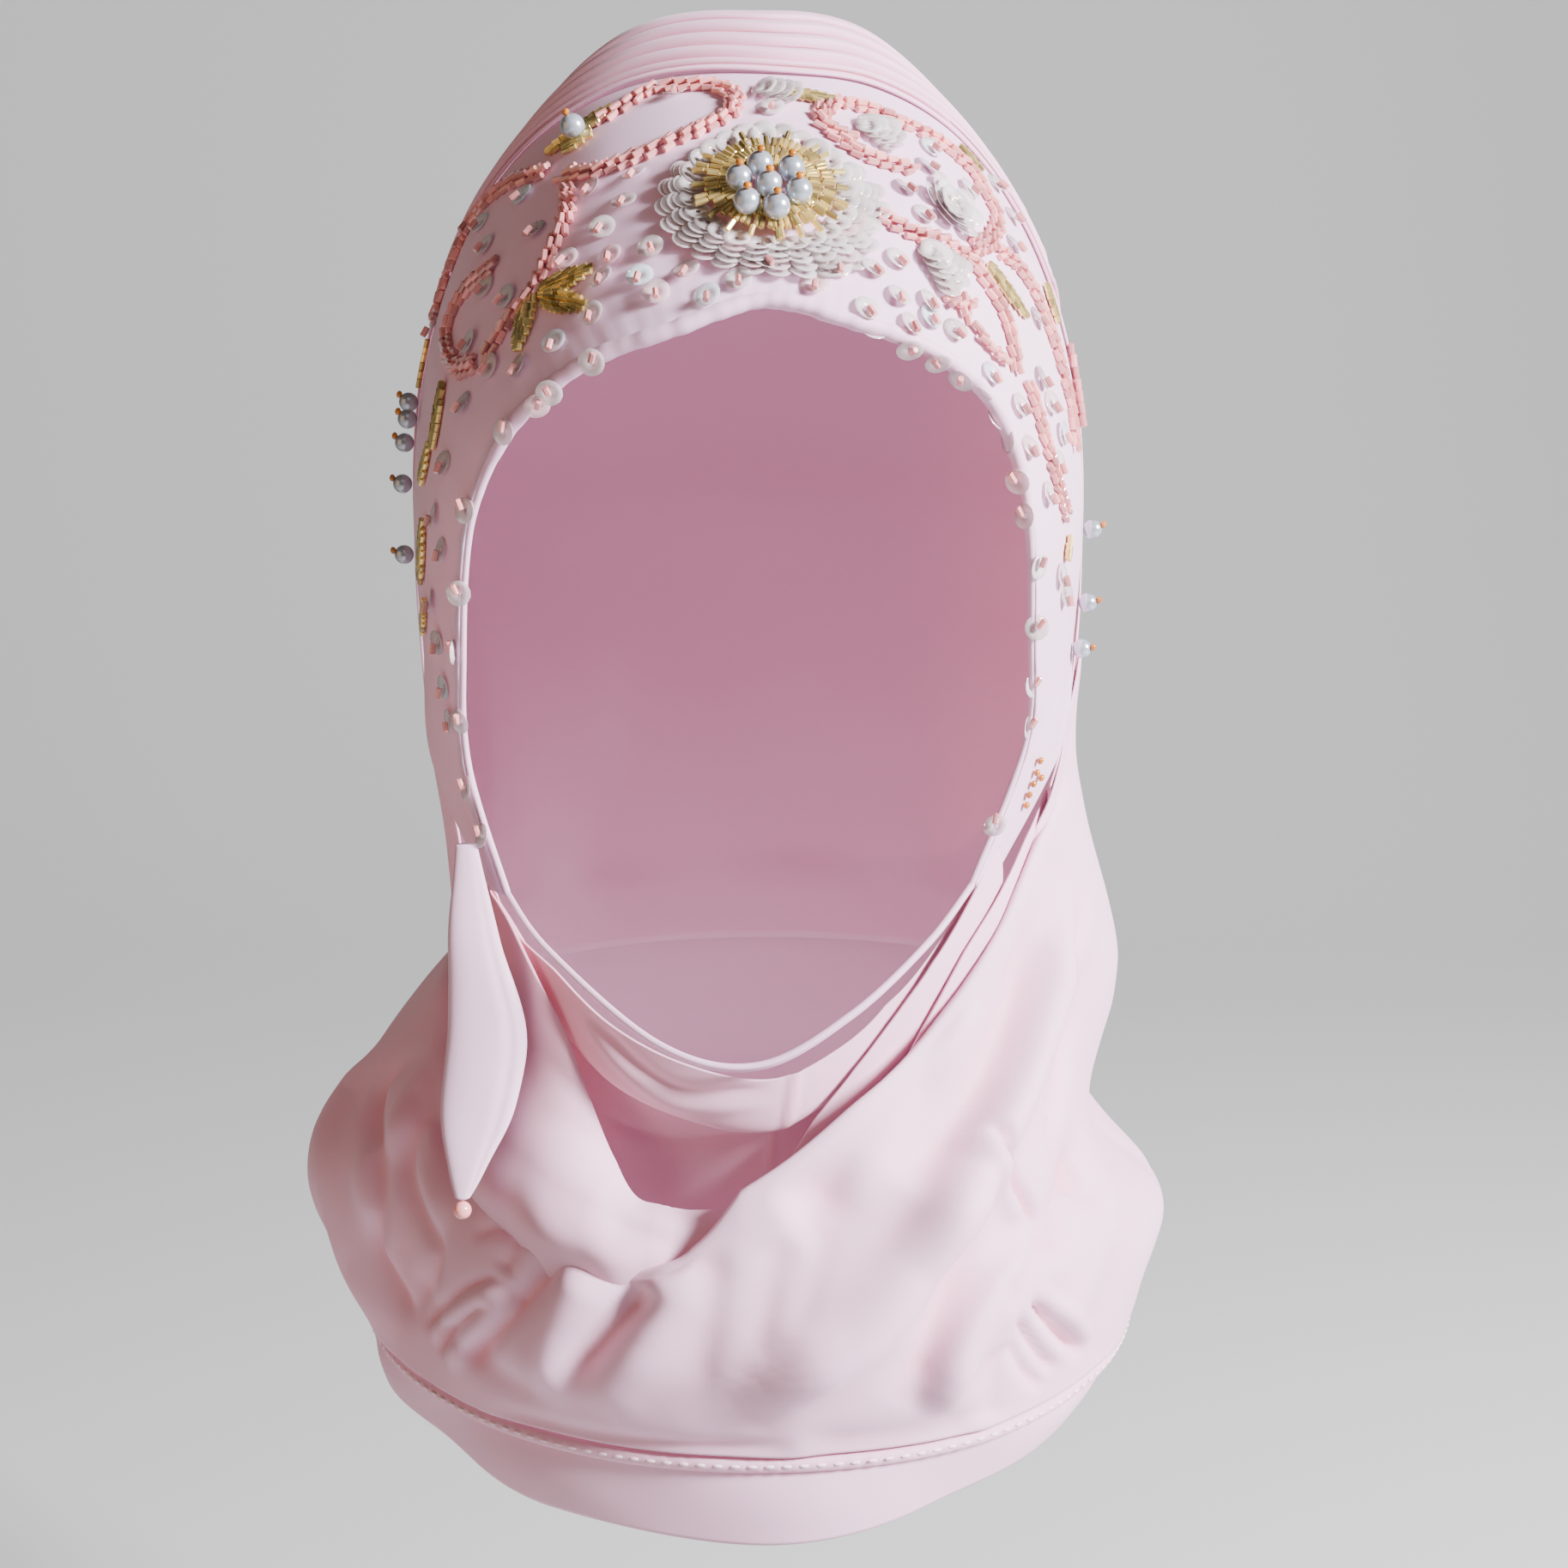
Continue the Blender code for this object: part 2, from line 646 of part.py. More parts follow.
def make_veil(collection):
    """Crown with its pleats, and the curtain at the sides and back."""
    front_steps = 14
    back_steps = 24
    front = []
    for i in range(front_steps + 1):
        edge = band_point(blend(BAND_CROWN_FIRST, BAND_CROWN_LAST, i / front_steps), 1.0, 0.0)
        front.append((heading(edge), tilt_of(edge)))
    columns = []
    for i in range(back_steps + 1):
        way = i / back_steps
        angle = blend(front[-1][0], front[0][0] + 360.0, way)
        side_tilt = blend(front[-1][1], front[0][1], way)
        bulge = ease(min(way, 1.0 - way) * 4.0)
        columns.append((angle if angle <= 180.0 else angle - 360.0,
                        blend(side_tilt, VEIL_BACK_TILT, bulge)))
    columns += front[1:-1]
    mesh = bpy.data.meshes.new("veil")
    bm = bmesh.new()
    rings = []
    for share, pleat in CROWN_PLEATS:
        rings.append([bm.verts.new(to_metres(cap_point(angle, tilt, share, pleat)))
                      for angle, tilt in columns])
    tip = bm.verts.new(to_metres(cap_point(0.0, 0.0, 0.0, 0.0)))
    count = len(columns)
    for i in range(count):
        j = (i + 1) % count
        bm.faces.new((tip, rings[0][j], rings[0][i]))
        for upper, lower in zip(rings, rings[1:]):
            bm.faces.new((upper[i], upper[j], lower[j], lower[i]))
    upper = rings[-1][:back_steps + 1]
    tops = [vertex.co.z / MM for vertex in upper]
    levels = 7
    for level in range(1, levels + 1):
        share = level / levels
        first, first_height = curtain_edge(BAND_CROWN_LAST, BAND_JAW_LAST,
                                           VEIL_HEM_ANGLE_RIGHT, share)
        last, last_height = curtain_edge(BAND_CROWN_FIRST, BAND_JAW_FIRST,
                                         VEIL_HEM_ANGLE_LEFT, share)
        lower = []
        for i in range(back_steps + 1):
            way = i / back_steps
            angle = blend(first, last + 360.0, way)
            plain = blend(tops[i], blend(VEIL_HEM_SIDE, VEIL_HEM_BACK, math.sin(math.pi * way)), share)
            edge_height = blend(first_height, last_height, way)
            near_edge = 1.0 - ease(min(way, 1.0 - way) * 5.0)
            height = blend(plain, edge_height, near_edge)
            lower.append(bm.verts.new(to_metres(curtain_point(angle, height))))
        for i in range(back_steps):
            bm.faces.new((upper[i], upper[i + 1], lower[i + 1], lower[i]))
        upper = lower
    face_out(bm)
    bm.to_mesh(mesh)
    bm.free()
    add_wall("veil", mesh, "pink_chiffon", collection)


def drape_guides(rows, angle):
    """Radius and height of each guide of a drape table at an angle."""
    if rows is CAPE_ROWS:
        low_radius = ring_row(HEM_ROWS, angle)[0] - CLOTH / 2
        return ring_row(rows, angle) + [low_radius, CAPE_FOOT]
    for i, (low, high) in enumerate(zip(rows, rows[1:])):
        if (low[0] - angle) * (high[0] - angle) <= 0:
            share = (angle - low[0]) / (high[0] - low[0])
            return curve_row([row[1:] for row in rows], i + share)
    return rows[0][1:]


def drape_surface(rows, angle, share):
    """Point of a drape at an angle, share 0 at its top edge and 1 at its lower edge."""
    flat = drape_guides(rows, angle)
    guides = list(zip(flat[0::2], flat[1::2]))
    radius, height = curve_row(guides, share * (len(guides) - 1))
    return radius, height


def fold_lift(angle, height):
    """Ridges and troughs of the cape at an angle and a height."""
    if angle > 180.0:
        angle -= 360.0
    scale = math.radians(1.0) * DRAPE_GIRTH_RADIUS
    lift = 0.0
    for a0, z0, a1, z1, a2, z2, width, height_of_fold in CAPE_FOLDS:
        nearest = 1e9
        best = 0.0
        for i in range(25):
            t = i / 24
            a = (1 - t) ** 2 * a0 + 2 * t * (1 - t) * a1 + t * t * a2
            z = (1 - t) ** 2 * z0 + 2 * t * (1 - t) * z1 + t * t * z2
            distance = math.hypot((angle - a) * scale, height - z)
            if distance < nearest:
                nearest = distance
                best = t
        fade = ease(best * 6.0) * ease((1.0 - best) * 6.0)
        lift += height_of_fold * fade * math.exp(-(nearest / width) ** 2)
    return lift


def make_drape(name, rows, start, end, along, across, collection):
    """Open drape between two angles."""
    grid = []
    for j in range(across + 1):
        line = []
        for i in range(along + 1):
            angle = blend(start, end, i / along)
            radius, height = drape_surface(rows, angle, j / across)
            line.append(drape_point(angle, radius, height))
        grid.append(line)
    return add_wall(name, grid_mesh(name, grid), "pink_chiffon", collection)


def make_cape(collection):
    """Outer wrap, all round the shoulders."""
    angles = [5.0 * i for i in range(22)] + [110.0 + 10.0 * i for i in range(15)]
    angles += [256.0 + 5.2 * i for i in range(20)]
    across = 8
    grid = []
    for j in range(across + 1):
        line = []
        for angle in angles:
            share = j / across
            radius, height = drape_surface(CAPE_ROWS, angle, share)
            free = ease(share * 6.0) * ease((1.0 - share) * 5.0)
            radius += fold_lift(angle, height) * free
            line.append(drape_point(angle, radius, height))
        grid.append(line)
    mesh = grid_mesh("shoulder_cape", grid, closed=True)
    add_wall("shoulder_cape", mesh, "pink_chiffon", collection)


def make_hem(collection):
    """Rolled seam under the cape, and the flounce that hangs from it."""
    count = 42
    seam = []
    top = []
    middle = []
    foot = []
    for i in range(count):
        angle = 360.0 * i / count
        seam_radius, foot_radius, foot_height = ring_row(HEM_ROWS, angle)
        wave = 0.8 * math.sin(math.radians(angle) * 9.0)
        seam.append(drape_point(angle, seam_radius, SEAM_HEIGHT))
        top.append(drape_point(angle, seam_radius - CLOTH / 2, FLOUNCE_TOP))
        half_radius = blend(seam_radius, foot_radius, 0.5) + 0.5 + wave
        half_height = blend(FLOUNCE_TOP, foot_height, 0.5)
        middle.append(drape_point(angle, half_radius, half_height))
        foot.append(drape_point(angle, foot_radius + 1.5 * wave, foot_height))
    add_tube("hem_seam", seam, SEAM_RADIUS, "pink_chiffon", collection, closed=True, sides=6)
    mesh = grid_mesh("hem_flounce", [top, middle, foot], closed=True)
    add_wall("hem_flounce", mesh, "pink_chiffon", collection)


def make_tie(collection):
    """Flat folded tie that hangs from the rim, with a bead at its tip."""
    mesh = bpy.data.meshes.new("side_tie")
    bm = bmesh.new()
    rings = []
    steps = 11
    for j in range(steps + 1):
        height, left, right, depth, thick = curve_row(TIE_ROWS, (len(TIE_ROWS) - 1) * j / steps)
        ring = []
        for i in range(TIE_SIDES):
            a = 2.0 * math.pi * i / TIE_SIDES
            x = blend(left, right, 0.5 + 0.5 * math.cos(a))
            y = depth - 0.5 * thick * math.sin(a)
            ring.append(bm.verts.new(to_metres(Vector((x, y, height)))))
        rings.append(ring)
    for upper, lower in zip(rings, rings[1:]):
        for i in range(TIE_SIDES):
            j = (i + 1) % TIE_SIDES
            bm.faces.new((upper[i], upper[j], lower[j], lower[i]))
    bm.faces.new(rings[0])
    bm.faces.new(rings[-1])
    bmesh.ops.recalc_face_normals(bm, faces=bm.faces)
    bm.to_mesh(mesh)
    bm.free()
    add_object("side_tie", mesh, "pink_chiffon", collection)
    tip_height, left, right, depth, thick = TIE_ROWS[-1]
    centre = Vector((blend(left, right, 0.5), depth, tip_height - TIE_BEAD_RADIUS - GAP))
    add_pearl("tie_bead", centre, TIE_BEAD_RADIUS, "pink_bead", collection)


def surface_frame(px, py, lift):
    """Point over the band with its outward direction and two directions along the cloth."""
    point, normal = on_head(px, py, lift)
    across = Vector((0, 0, 1)).cross(-normal).normalized()
    if across.x < 0:
        across = -across
    return point, normal, across, normal.cross(across).normalized()


def press_on(point, lift):
    """Move a point to a height over the head form."""
    direction = (point - HEAD_CENTRE).normalized()
    return HEAD_CENTRE + direction * (head_radius(direction) + lift)


def make_field(name, px, py, inner, outline, scallops, height, finish, collection):
    """Field of sequins or beads that follows the band; a ring where inner is above 0."""
    centre, normal, across, up = surface_frame(px, py, CLOTH + GAP)
    count = 3 * scallops
    shares = (0.0, 0.5, 1.0) if inner else (0.45, 1.0)
    grid = []
    for share in shares:
        line = []
        for i in range(count):
            a = 2.0 * math.pi * i / count
            edge = ring_row(outline, math.degrees(a))[0] * (1.0 + 0.04 * math.cos(a * scallops))
            radius = blend(inner, edge, share)
            flat = centre + across * math.cos(a) * radius + up * math.sin(a) * radius
            line.append(press_on(flat, CLOTH + GAP))
        grid.append(line)
    pole = None if inner else press_on(centre, CLOTH + GAP)
    mesh = grid_mesh(name, grid, closed=True, pole=pole)
    add_wall(name, mesh, finish, collection, thickness=height)


def make_flower(collection):
    """Central flower: a scalloped ring of sequins, gold rays and seven pearls."""
    make_field("flower_sequins", FLOWER_X, FLOWER_Y, RAY_RADIUS * 1.04 + 2 * GAP, FLOWER_OUTLINE,
               FLOWER_SCALLOPS, FLOWER_HEIGHT, "sequin", collection)
    make_field("flower_rays", FLOWER_X, FLOWER_Y, 0.0, [(0, RAY_RADIUS)], 8, FLOWER_HEIGHT,
               "gold_bead", collection)
    lift = CLOTH + GAP + FLOWER_HEIGHT + GAP + PEARL_RADIUS
    for i, (px, py) in enumerate(FLOWER_PEARLS):
        centre = on_head(px, py, lift)[0]
        add_pearl("pearl_flower_%d" % (i + 1), centre, PEARL_RADIUS, "pearl", collection)


def make_pearls(collection):
    """Pearl of the upper left and the small pearls at the temples."""
    centre = on_head(*UPPER_PEARL, CLOTH + GAP + UPPER_PEARL_RADIUS)[0]
    add_pearl("pearl_upper_left", centre, UPPER_PEARL_RADIUS, "pearl", collection)
    for i, (side, angle, height) in enumerate(TEMPLE_PEARLS):
        half = HALF_UP if height > HEAD_CENTRE.z else HALF_DOWN
        rise = (height - HEAD_CENTRE.z) / half
        base = press_on(HEAD_CENTRE + polar(side * angle, 90.0 - math.degrees(math.asin(rise))), 0.0)
        base = press_on(Vector((base.x, base.y, height)), 0.0)
        centre = base + head_normal(base) * (CLOTH + GAP + TEMPLE_PEARL_RADIUS)
        add_pearl("pearl_temple_%d" % (i + 1), centre, TEMPLE_PEARL_RADIUS, "pearl", collection)


def make_vines(collection):
    """Bundles of pink bugle beads in curling vines, each one tube along the band."""
    lift = CLOTH + GAP + VINE_RADIUS
    for name, pixels in VINES.items():
        samples = []
        fine = 8 * (len(pixels) - 1)
        for i in range(fine + 1):
            px, py = curve_row(pixels, (len(pixels) - 1) * i / fine)
            samples.append(on_head(px, py, lift)[0])
        length = sum((b - a).length for a, b in zip(samples, samples[1:]))
        step = length / max(2, round(length / VINE_STEP))
        points = [samples[0]]
        walked = 0.0
        for a, b in zip(samples, samples[1:]):
            walked += (b - a).length
            if walked >= step - 1e-6:
                points.append(b)
                walked = 0.0
        if walked > 0.4 * step:
            points.append(samples[-1])
        add_tube(name, points, VINE_RADIUS, "pink_bead", collection)


def make_leaf(name, row, collection):
    """Leaf of gold bugle beads: a pointed, low mound on the band."""
    foot_x, foot_y, tip_x, tip_y, half = row
    lift = CLOTH + GAP
    shares = (0.0, 0.3, 0.65, 1.0)
    widths = (0.35, 1.0, 0.85, 0.15)
    mesh = bpy.data.meshes.new(name)
    bm = bmesh.new()
    rings = []
    foot = on_head(foot_x, foot_y, lift)[0]
    tip = on_head(tip_x, tip_y, lift)[0]
    run = (tip - foot).normalized()
    for share, width in zip(shares, widths):
        base = press_on(foot.lerp(tip, share), lift)
        normal = head_normal(base)
        side = normal.cross(run).normalized() * (half * width)
        top = LEAF_HEIGHT * (0.5 + 0.5 * width)
        ring = [press_on(base - side, lift), press_on(base - side * 0.6, lift + top),
                press_on(base + side * 0.6, lift + top), press_on(base + side, lift)]
        rings.append([bm.verts.new(to_metres(point)) for point in ring])
    for lower, upper in zip(rings, rings[1:]):
        for i in range(4):
            j = (i + 1) % 4
            bm.faces.new((lower[i], lower[j], upper[j], upper[i]))
    bm.faces.new(rings[0])
    bm.faces.new(rings[-1])
    bmesh.ops.recalc_face_normals(bm, faces=bm.faces)
    bm.to_mesh(mesh)
    bm.free()
    add_object(name, mesh, "gold_bead", collection)


def make_ornaments(collection):
    """Leaves and clusters of sequins."""
    for name, row in LEAVES.items():
        make_leaf(name, row, collection)
    for name, (px, py, radius) in CLUSTERS.items():
        make_field(name, px, py, 0.0, [(0, radius)], 5, 1.3, "sequin", collection)


def main():
    clear_scene()
    collection = bpy.data.collections.new("embellished_hijab")
    bpy.context.scene.collection.children.link(collection)
    make_band(collection)
    make_rim(collection)
    make_veil(collection)
    make_drape("neck_panel", NECK_ROWS, -50.0, 40.0, 20, 7, collection)
    make_drape("inner_fold", INNER_FOLD_ROWS, 5.0, 33.0, 10, 3, collection)
    make_drape("cowl_wrap", COWL_ROWS, -74.0, 60.0, 32, 5, collection)
    make_cape(collection)
    make_hem(collection)
    make_tie(collection)
    make_flower(collection)
    make_pearls(collection)
    make_vines(collection)
    make_ornaments(collection)


if __name__ == "__main__":
    main()
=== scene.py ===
"""Embellished hijab: the draped cloth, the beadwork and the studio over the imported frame.

Sizes in the tables are millimetres unless their comment gives metres. Places are measured from a
point 28 mm in front of the seat. Every mesh is moved to the seat, the inside top of the crown, and
scaled to metres when it is made. Places of the beads, sequins and fine folds are points of the front
picture, carried onto the cloth. The pearls lie where the frame has them.
"""

import math
import random

import bmesh
import bpy
import numpy as np
from mathutils import Matrix, Vector, noise
from mathutils.bvhtree import BVHTree


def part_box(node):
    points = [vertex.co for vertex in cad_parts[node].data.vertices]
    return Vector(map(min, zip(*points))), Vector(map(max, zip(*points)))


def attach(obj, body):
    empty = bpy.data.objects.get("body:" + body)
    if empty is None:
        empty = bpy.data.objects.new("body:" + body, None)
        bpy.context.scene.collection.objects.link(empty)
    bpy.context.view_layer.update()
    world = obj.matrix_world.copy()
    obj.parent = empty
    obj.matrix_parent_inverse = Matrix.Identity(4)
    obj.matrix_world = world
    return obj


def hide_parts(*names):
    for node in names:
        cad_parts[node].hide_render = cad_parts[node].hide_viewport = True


bl_info = {
    "name": "Embellished hijab",
    "version": (1, 0, 0),
    "blender": (4, 5, 0),
    "location": "View3D > Sidebar > Hijab",
    "description": "Dresses the frame of a beaded hijab with cloth, beads, sequins and a studio",
    "category": "Object",
}

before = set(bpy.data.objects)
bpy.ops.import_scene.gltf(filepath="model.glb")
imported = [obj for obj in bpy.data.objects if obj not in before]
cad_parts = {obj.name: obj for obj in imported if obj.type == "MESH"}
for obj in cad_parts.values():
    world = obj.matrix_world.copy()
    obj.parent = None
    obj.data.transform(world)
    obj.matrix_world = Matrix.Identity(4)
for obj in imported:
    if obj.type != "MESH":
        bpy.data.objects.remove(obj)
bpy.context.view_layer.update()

MM = 0.001
SEAT = Vector((0.0, 28.0, 0.0))
BODY = "root"

# Vertices nearer than this many metres are joined; turns of smoothing that show where cloth lies hollow
WELD_DISTANCE = 2e-6
HOLLOW_TURNS = 14

# Head form under the cloth, as in the part's source
HEAD_CENTRE = Vector((0.0, 28.0, -122.0))
HALF_WIDTH = 84.5
HALF_FRONT = 128.0
HALF_BACK = 70.0
HALF_UP = 122.0
HALF_DOWN = 165.0
ROUND_SIDE = 2.0
ROUND_FOREHEAD = 1.62
FOREHEAD_SPREAD = 75.0
DRAPE_Y = 5.0
DRAPE_GIRTH_RADIUS = 100.0

# Viewpoint of the front picture
EYE = Vector((9.0, -550.8, -88.9))
EYE_TILT = math.radians(10.4)
PICTURE_SIZE = 1827.0
PICTURE_FOCAL = 2550.0

# Rolled hem seam, veil over the head form, share of the cape in its rolled edge, cloth of the source
SEAM_RADIUS = 1.6
VEIL_EASE = 0.6
CAPE_EDGE_SHARE = 0.14
SOURCE_CLOTH = 1.2

# Front band: rim x, rim y, rim z, back edge x, back edge y, back edge z
BAND_ROWS = [
    (-56, -50, -207, -60, -44, -207),
    (-66, -40, -178, -77, -17, -181),
    (-65, -51, -150, -84, -3, -144),
    (-61, -61, -119, -85, 6, -104),
    (-50, -70, -98, -77, 4, -72),
    (-34, -78, -85, -61, -5, -44),
    (-14, -82, -78, -31, -20, -24),
    (5, -80, -72, 5, -27, -20),
    (22, -78, -76, 30, -19, -22),
    (41, -71, -82, 54, -8, -35),
    (55, -62, -93, 75, 0, -67),
    (63, -55, -114, 84, 3, -99),
    (66, -49, -147, 85, 1, -136),
    (66, -39, -174, 79, -14, -172),
    (53, -50, -205, 60, -40, -202),
]
BAND_CROWN_FIRST = 4.0
BAND_CROWN_LAST = 10.0
BAND_JAW_FIRST = 0.6
BAND_JAW_LAST = 13.4

# Rim under the chin, right jaw to left jaw: x, y, z
CHIN_ROWS = [
    (42, -62, -216),
    (24, -76, -229),
    (3, -82, -239),
    (-19, -79, -235),
    (-45, -62, -218),
]

# Veil: height, half width left, half width right, depth to the front, depth to the back
VEIL_SECTIONS = [
    (-122, 84.5, 84.5, 128, 70),
    (-150, 84.5, 84.5, 122, 73),
    (-180, 82.5, 82.5, 114, 75),
    (-205, 79.5, 81.5, 105, 77),
    (-235, 78.0, 81.0, 97, 78),
    (-262, 79.0, 81.0, 95, 79),
]
VEIL_BACK_TILT = 76.0
VEIL_HEM_ANGLE_LEFT = -57.0
VEIL_HEM_ANGLE_RIGHT = 72.0
VEIL_EDGE_BACK = 1.6
VEIL_HEM_SIDE = -250.0
VEIL_HEM_BACK = -258.0
VEIL_JAW_SHARE = 0.72
CROWN_FULL_LIFT = 3.0
CROWN_FULL_TILT = 14.0
CROWN_FULL_SPREAD = 9.0

# Pleats of the crown: share of the way from the pole to the band where the lip lies, its height,
# how far the fold rises behind the lip
PLEATS = [
    (0.50, 1.2, 0.22),
    (0.64, 1.9, 0.13),
    (0.76, 2.3, 0.11),
    (0.865, 2.5, 0.09),
    (0.945, 1.7, 0.06),
]

# Shares of the same way: how fast a lip drops, how far it hangs forward and over what run, and where
# and how wide the shade behind it is, with its strength
PLEAT_DROP = 0.013
PLEAT_HANG = 0.019
PLEAT_HANG_RUN = 0.05
PLEAT_SHADE = 0.55
PLEAT_SHADE_PLACE = 0.020
PLEAT_SHADE_WIDTH = 0.012

# Drapes: degrees from the front, then radius and height of each line from the top edge down
NECK_ROWS = [
    (-62, 74.0, -199, 71.0, -212, 69, -216, 66, -255),
    (-50, 74.4, -215, 70.4, -226, 67, -228, 66, -268),
    (-35, 77.4, -223, 75.4, -236, 70, -238, 66, -276),
    (-22, 80.9, -233, 79.9, -247, 73, -249, 67, -282),
    (-9, 82.9, -240, 81.4, -253, 74, -255, 69, -286),
    (4, 83.4, -243, 81.9, -255, 75, -257, 70, -288),
    (14, 81.9, -238, 80.4, -249, 74, -251, 70, -284),
    (24, 78.9, -229, 77.4, -240, 72, -242, 68, -276),
    (40, 74.9, -213, 72.4, -226, 69, -228, 66, -268),
    (54, 73.4, -196, 71.8, -209, 69, -212, 66, -250),
]
INNER_FOLD_ROWS = [
    (52, 76.0, -196, 76.8, -204, 76.4, -213),
    (42, 77.2, -209, 78.0, -217, 77.6, -227),
    (33, 78.6, -221, 79.4, -230, 78.6, -240),
    (26, 79.8, -231, 81.2, -239, 80.4, -250),
    (18, 82.0, -242, 83.6, -250, 82.4, -262),
    (11, 83.4, -253, 84.8, -261, 83.4, -272),
    (5, 84.6, -265, 85.6, -271, 83.8, -280),
]
COWL_ROWS = [
    (-74, 75.8, -212, 75.7, -230, 75.6, -250, 75.8, -262, 75.2, -270),
    (-62, 75.8, -203, 76.4, -228, 78.4, -252, 81.0, -264, 79, -272),
    (-53, 78.0, -206, 79.5, -231, 83.0, -254, 88.0, -267, 85, -276),
    (-45, 78.5, -213, 80.5, -236, 87.5, -257, 93.5, -270, 90, -280),
    (-38, 78.8, -225, 83.5, -244, 92.0, -260.5, 98.0, -271.5, 94, -282),
    (-31.8, 79.0, -237, 87.0, -251, 95.0, -262.5, 101.0, -273, 97, -285),
    (-25.8, 81.5, -252, 91.0, -259.5, 98.5, -266, 105.0, -275, 100, -288),
    (-20.3, 85.0, -264, 94.0, -266.5, 99.5, -269, 105.2, -277, 101, -291),
    (-16, 89.0, -270.5, 96.0, -271, 99.5, -273.5, 105.0, -279.5, 101, -293),
    (-11.5, 90.0, -271.5, 95.5, -272.3, 98.6, -275, 101.6, -281, 97, -294),
    (-7, 90.5, -272, 94.5, -273, 97.3, -277, 99.2, -285, 95, -295),
    (2, 89.5, -270, 92.5, -271.5, 94.5, -275, 96.0, -281, 92, -292),
    (12, 87.0, -260, 89.5, -262.5, 91.0, -267, 92.0, -274, 89, -284),
    (22, 84.0, -249, 86.0, -252, 87.0, -258, 88.0, -265, 86, -276),
    (31, 81.5, -233, 82.7, -238, 83.8, -245, 84.5, -252, 82, -262),
    (40, 79.5, -219, 80.3, -224, 81.0, -230, 81.5, -236, 79, -245),
    (50, 78.2, -208, 78.7, -212, 79.0, -216.5, 79.2, -221, 78, -228),
    (60, 77.6, -197, 78.1, -202, 78.6, -208, 78.8, -213, 78, -220),
    (72, 77.4, -188, 77.8, -195, 78.2, -202, 78.4, -208, 77.8, -215),
]
CAPE_ROWS = [
    (0, 99, -266, 103, -276, 106, -289, 107.5, -304),
    (15, 94, -250, 99, -264, 104, -281, 107.5, -302),
    (30, 86.5, -237, 93, -255, 101, -274, 106.5, -300),
    (45, 82.5, -221, 87, -244, 97, -270, 104, -298),
    (62, 81, -201, 84.5, -233, 91, -270, 103, -298),
    (85, 84.6, -193, 94, -235, 89, -279, 110, -301),
    (100, 87.5, -204, 96, -238, 92, -280, 111, -302),
    (120, 94.8, -222, 103, -248, 102, -278, 112, -302),
    (150, 101.8, -236, 107, -256, 109, -280, 112, -302),
    (180, 104.3, -238, 109, -258, 112, -280, 112, -302),
    (210, 101.2, -240, 109, -260, 113, -282, 113, -302),
    (240, 91.5, -243, 107, -262, 114, -282, 114, -302),
    (272, 82.5, -247, 100, -269, 114, -286, 115, -302),
    (290, 83.5, -257, 93, -268, 103, -284, 105, -302),
    (305, 88.5, -271, 94, -278, 98, -290, 99, -304),
    (320, 93.5, -275.5, 98.5, -282, 102, -293, 103, -305),
    (335, 100, -277, 103.5, -283, 106, -294, 107, -307),
    (343, 99.5, -280.5, 104, -286, 107, -296, 107.5, -306),
    (346.5, 102.2, -283.6, 104.6, -288, 107, -296, 107.5, -306),
    (350, 103.8, -282.4, 105, -287, 107, -296, 107.5, -306),
    (354, 102.6, -278, 104.5, -284, 106.5, -293, 107.5, -305),
]

# How far the cape's cloth runs up over the veil above its top edge: degrees from the front, mm
CAPE_RISE = [
    (0, 0), (50, 0), (62, 4), (70, 10), (76, 16), (85, 34), (96, 40), (108, 36), (122, 22), (140, 8),
    (160, 4), (285, 3), (300, 0),
]

# Main folds of the cape: degrees and height of the start, middle and end, half width, lift
CAPE_FOLDS = [
    (80, -212, 36, -252, -4, -312, 9, 4.0),
    (50, -288, 28, -292, 21, -316, 6, 2.5),
    (50, -262, 56, -276, 60, -290, 5, -3.0),
    (-58, -264, -78, -276, -58, -294, 6, 3.0),
    (-56, -303, -42, -308, -24, -318, 5, -2.0),
    (100, -292, 88, -300, 70, -318, 6, -2.0),
]

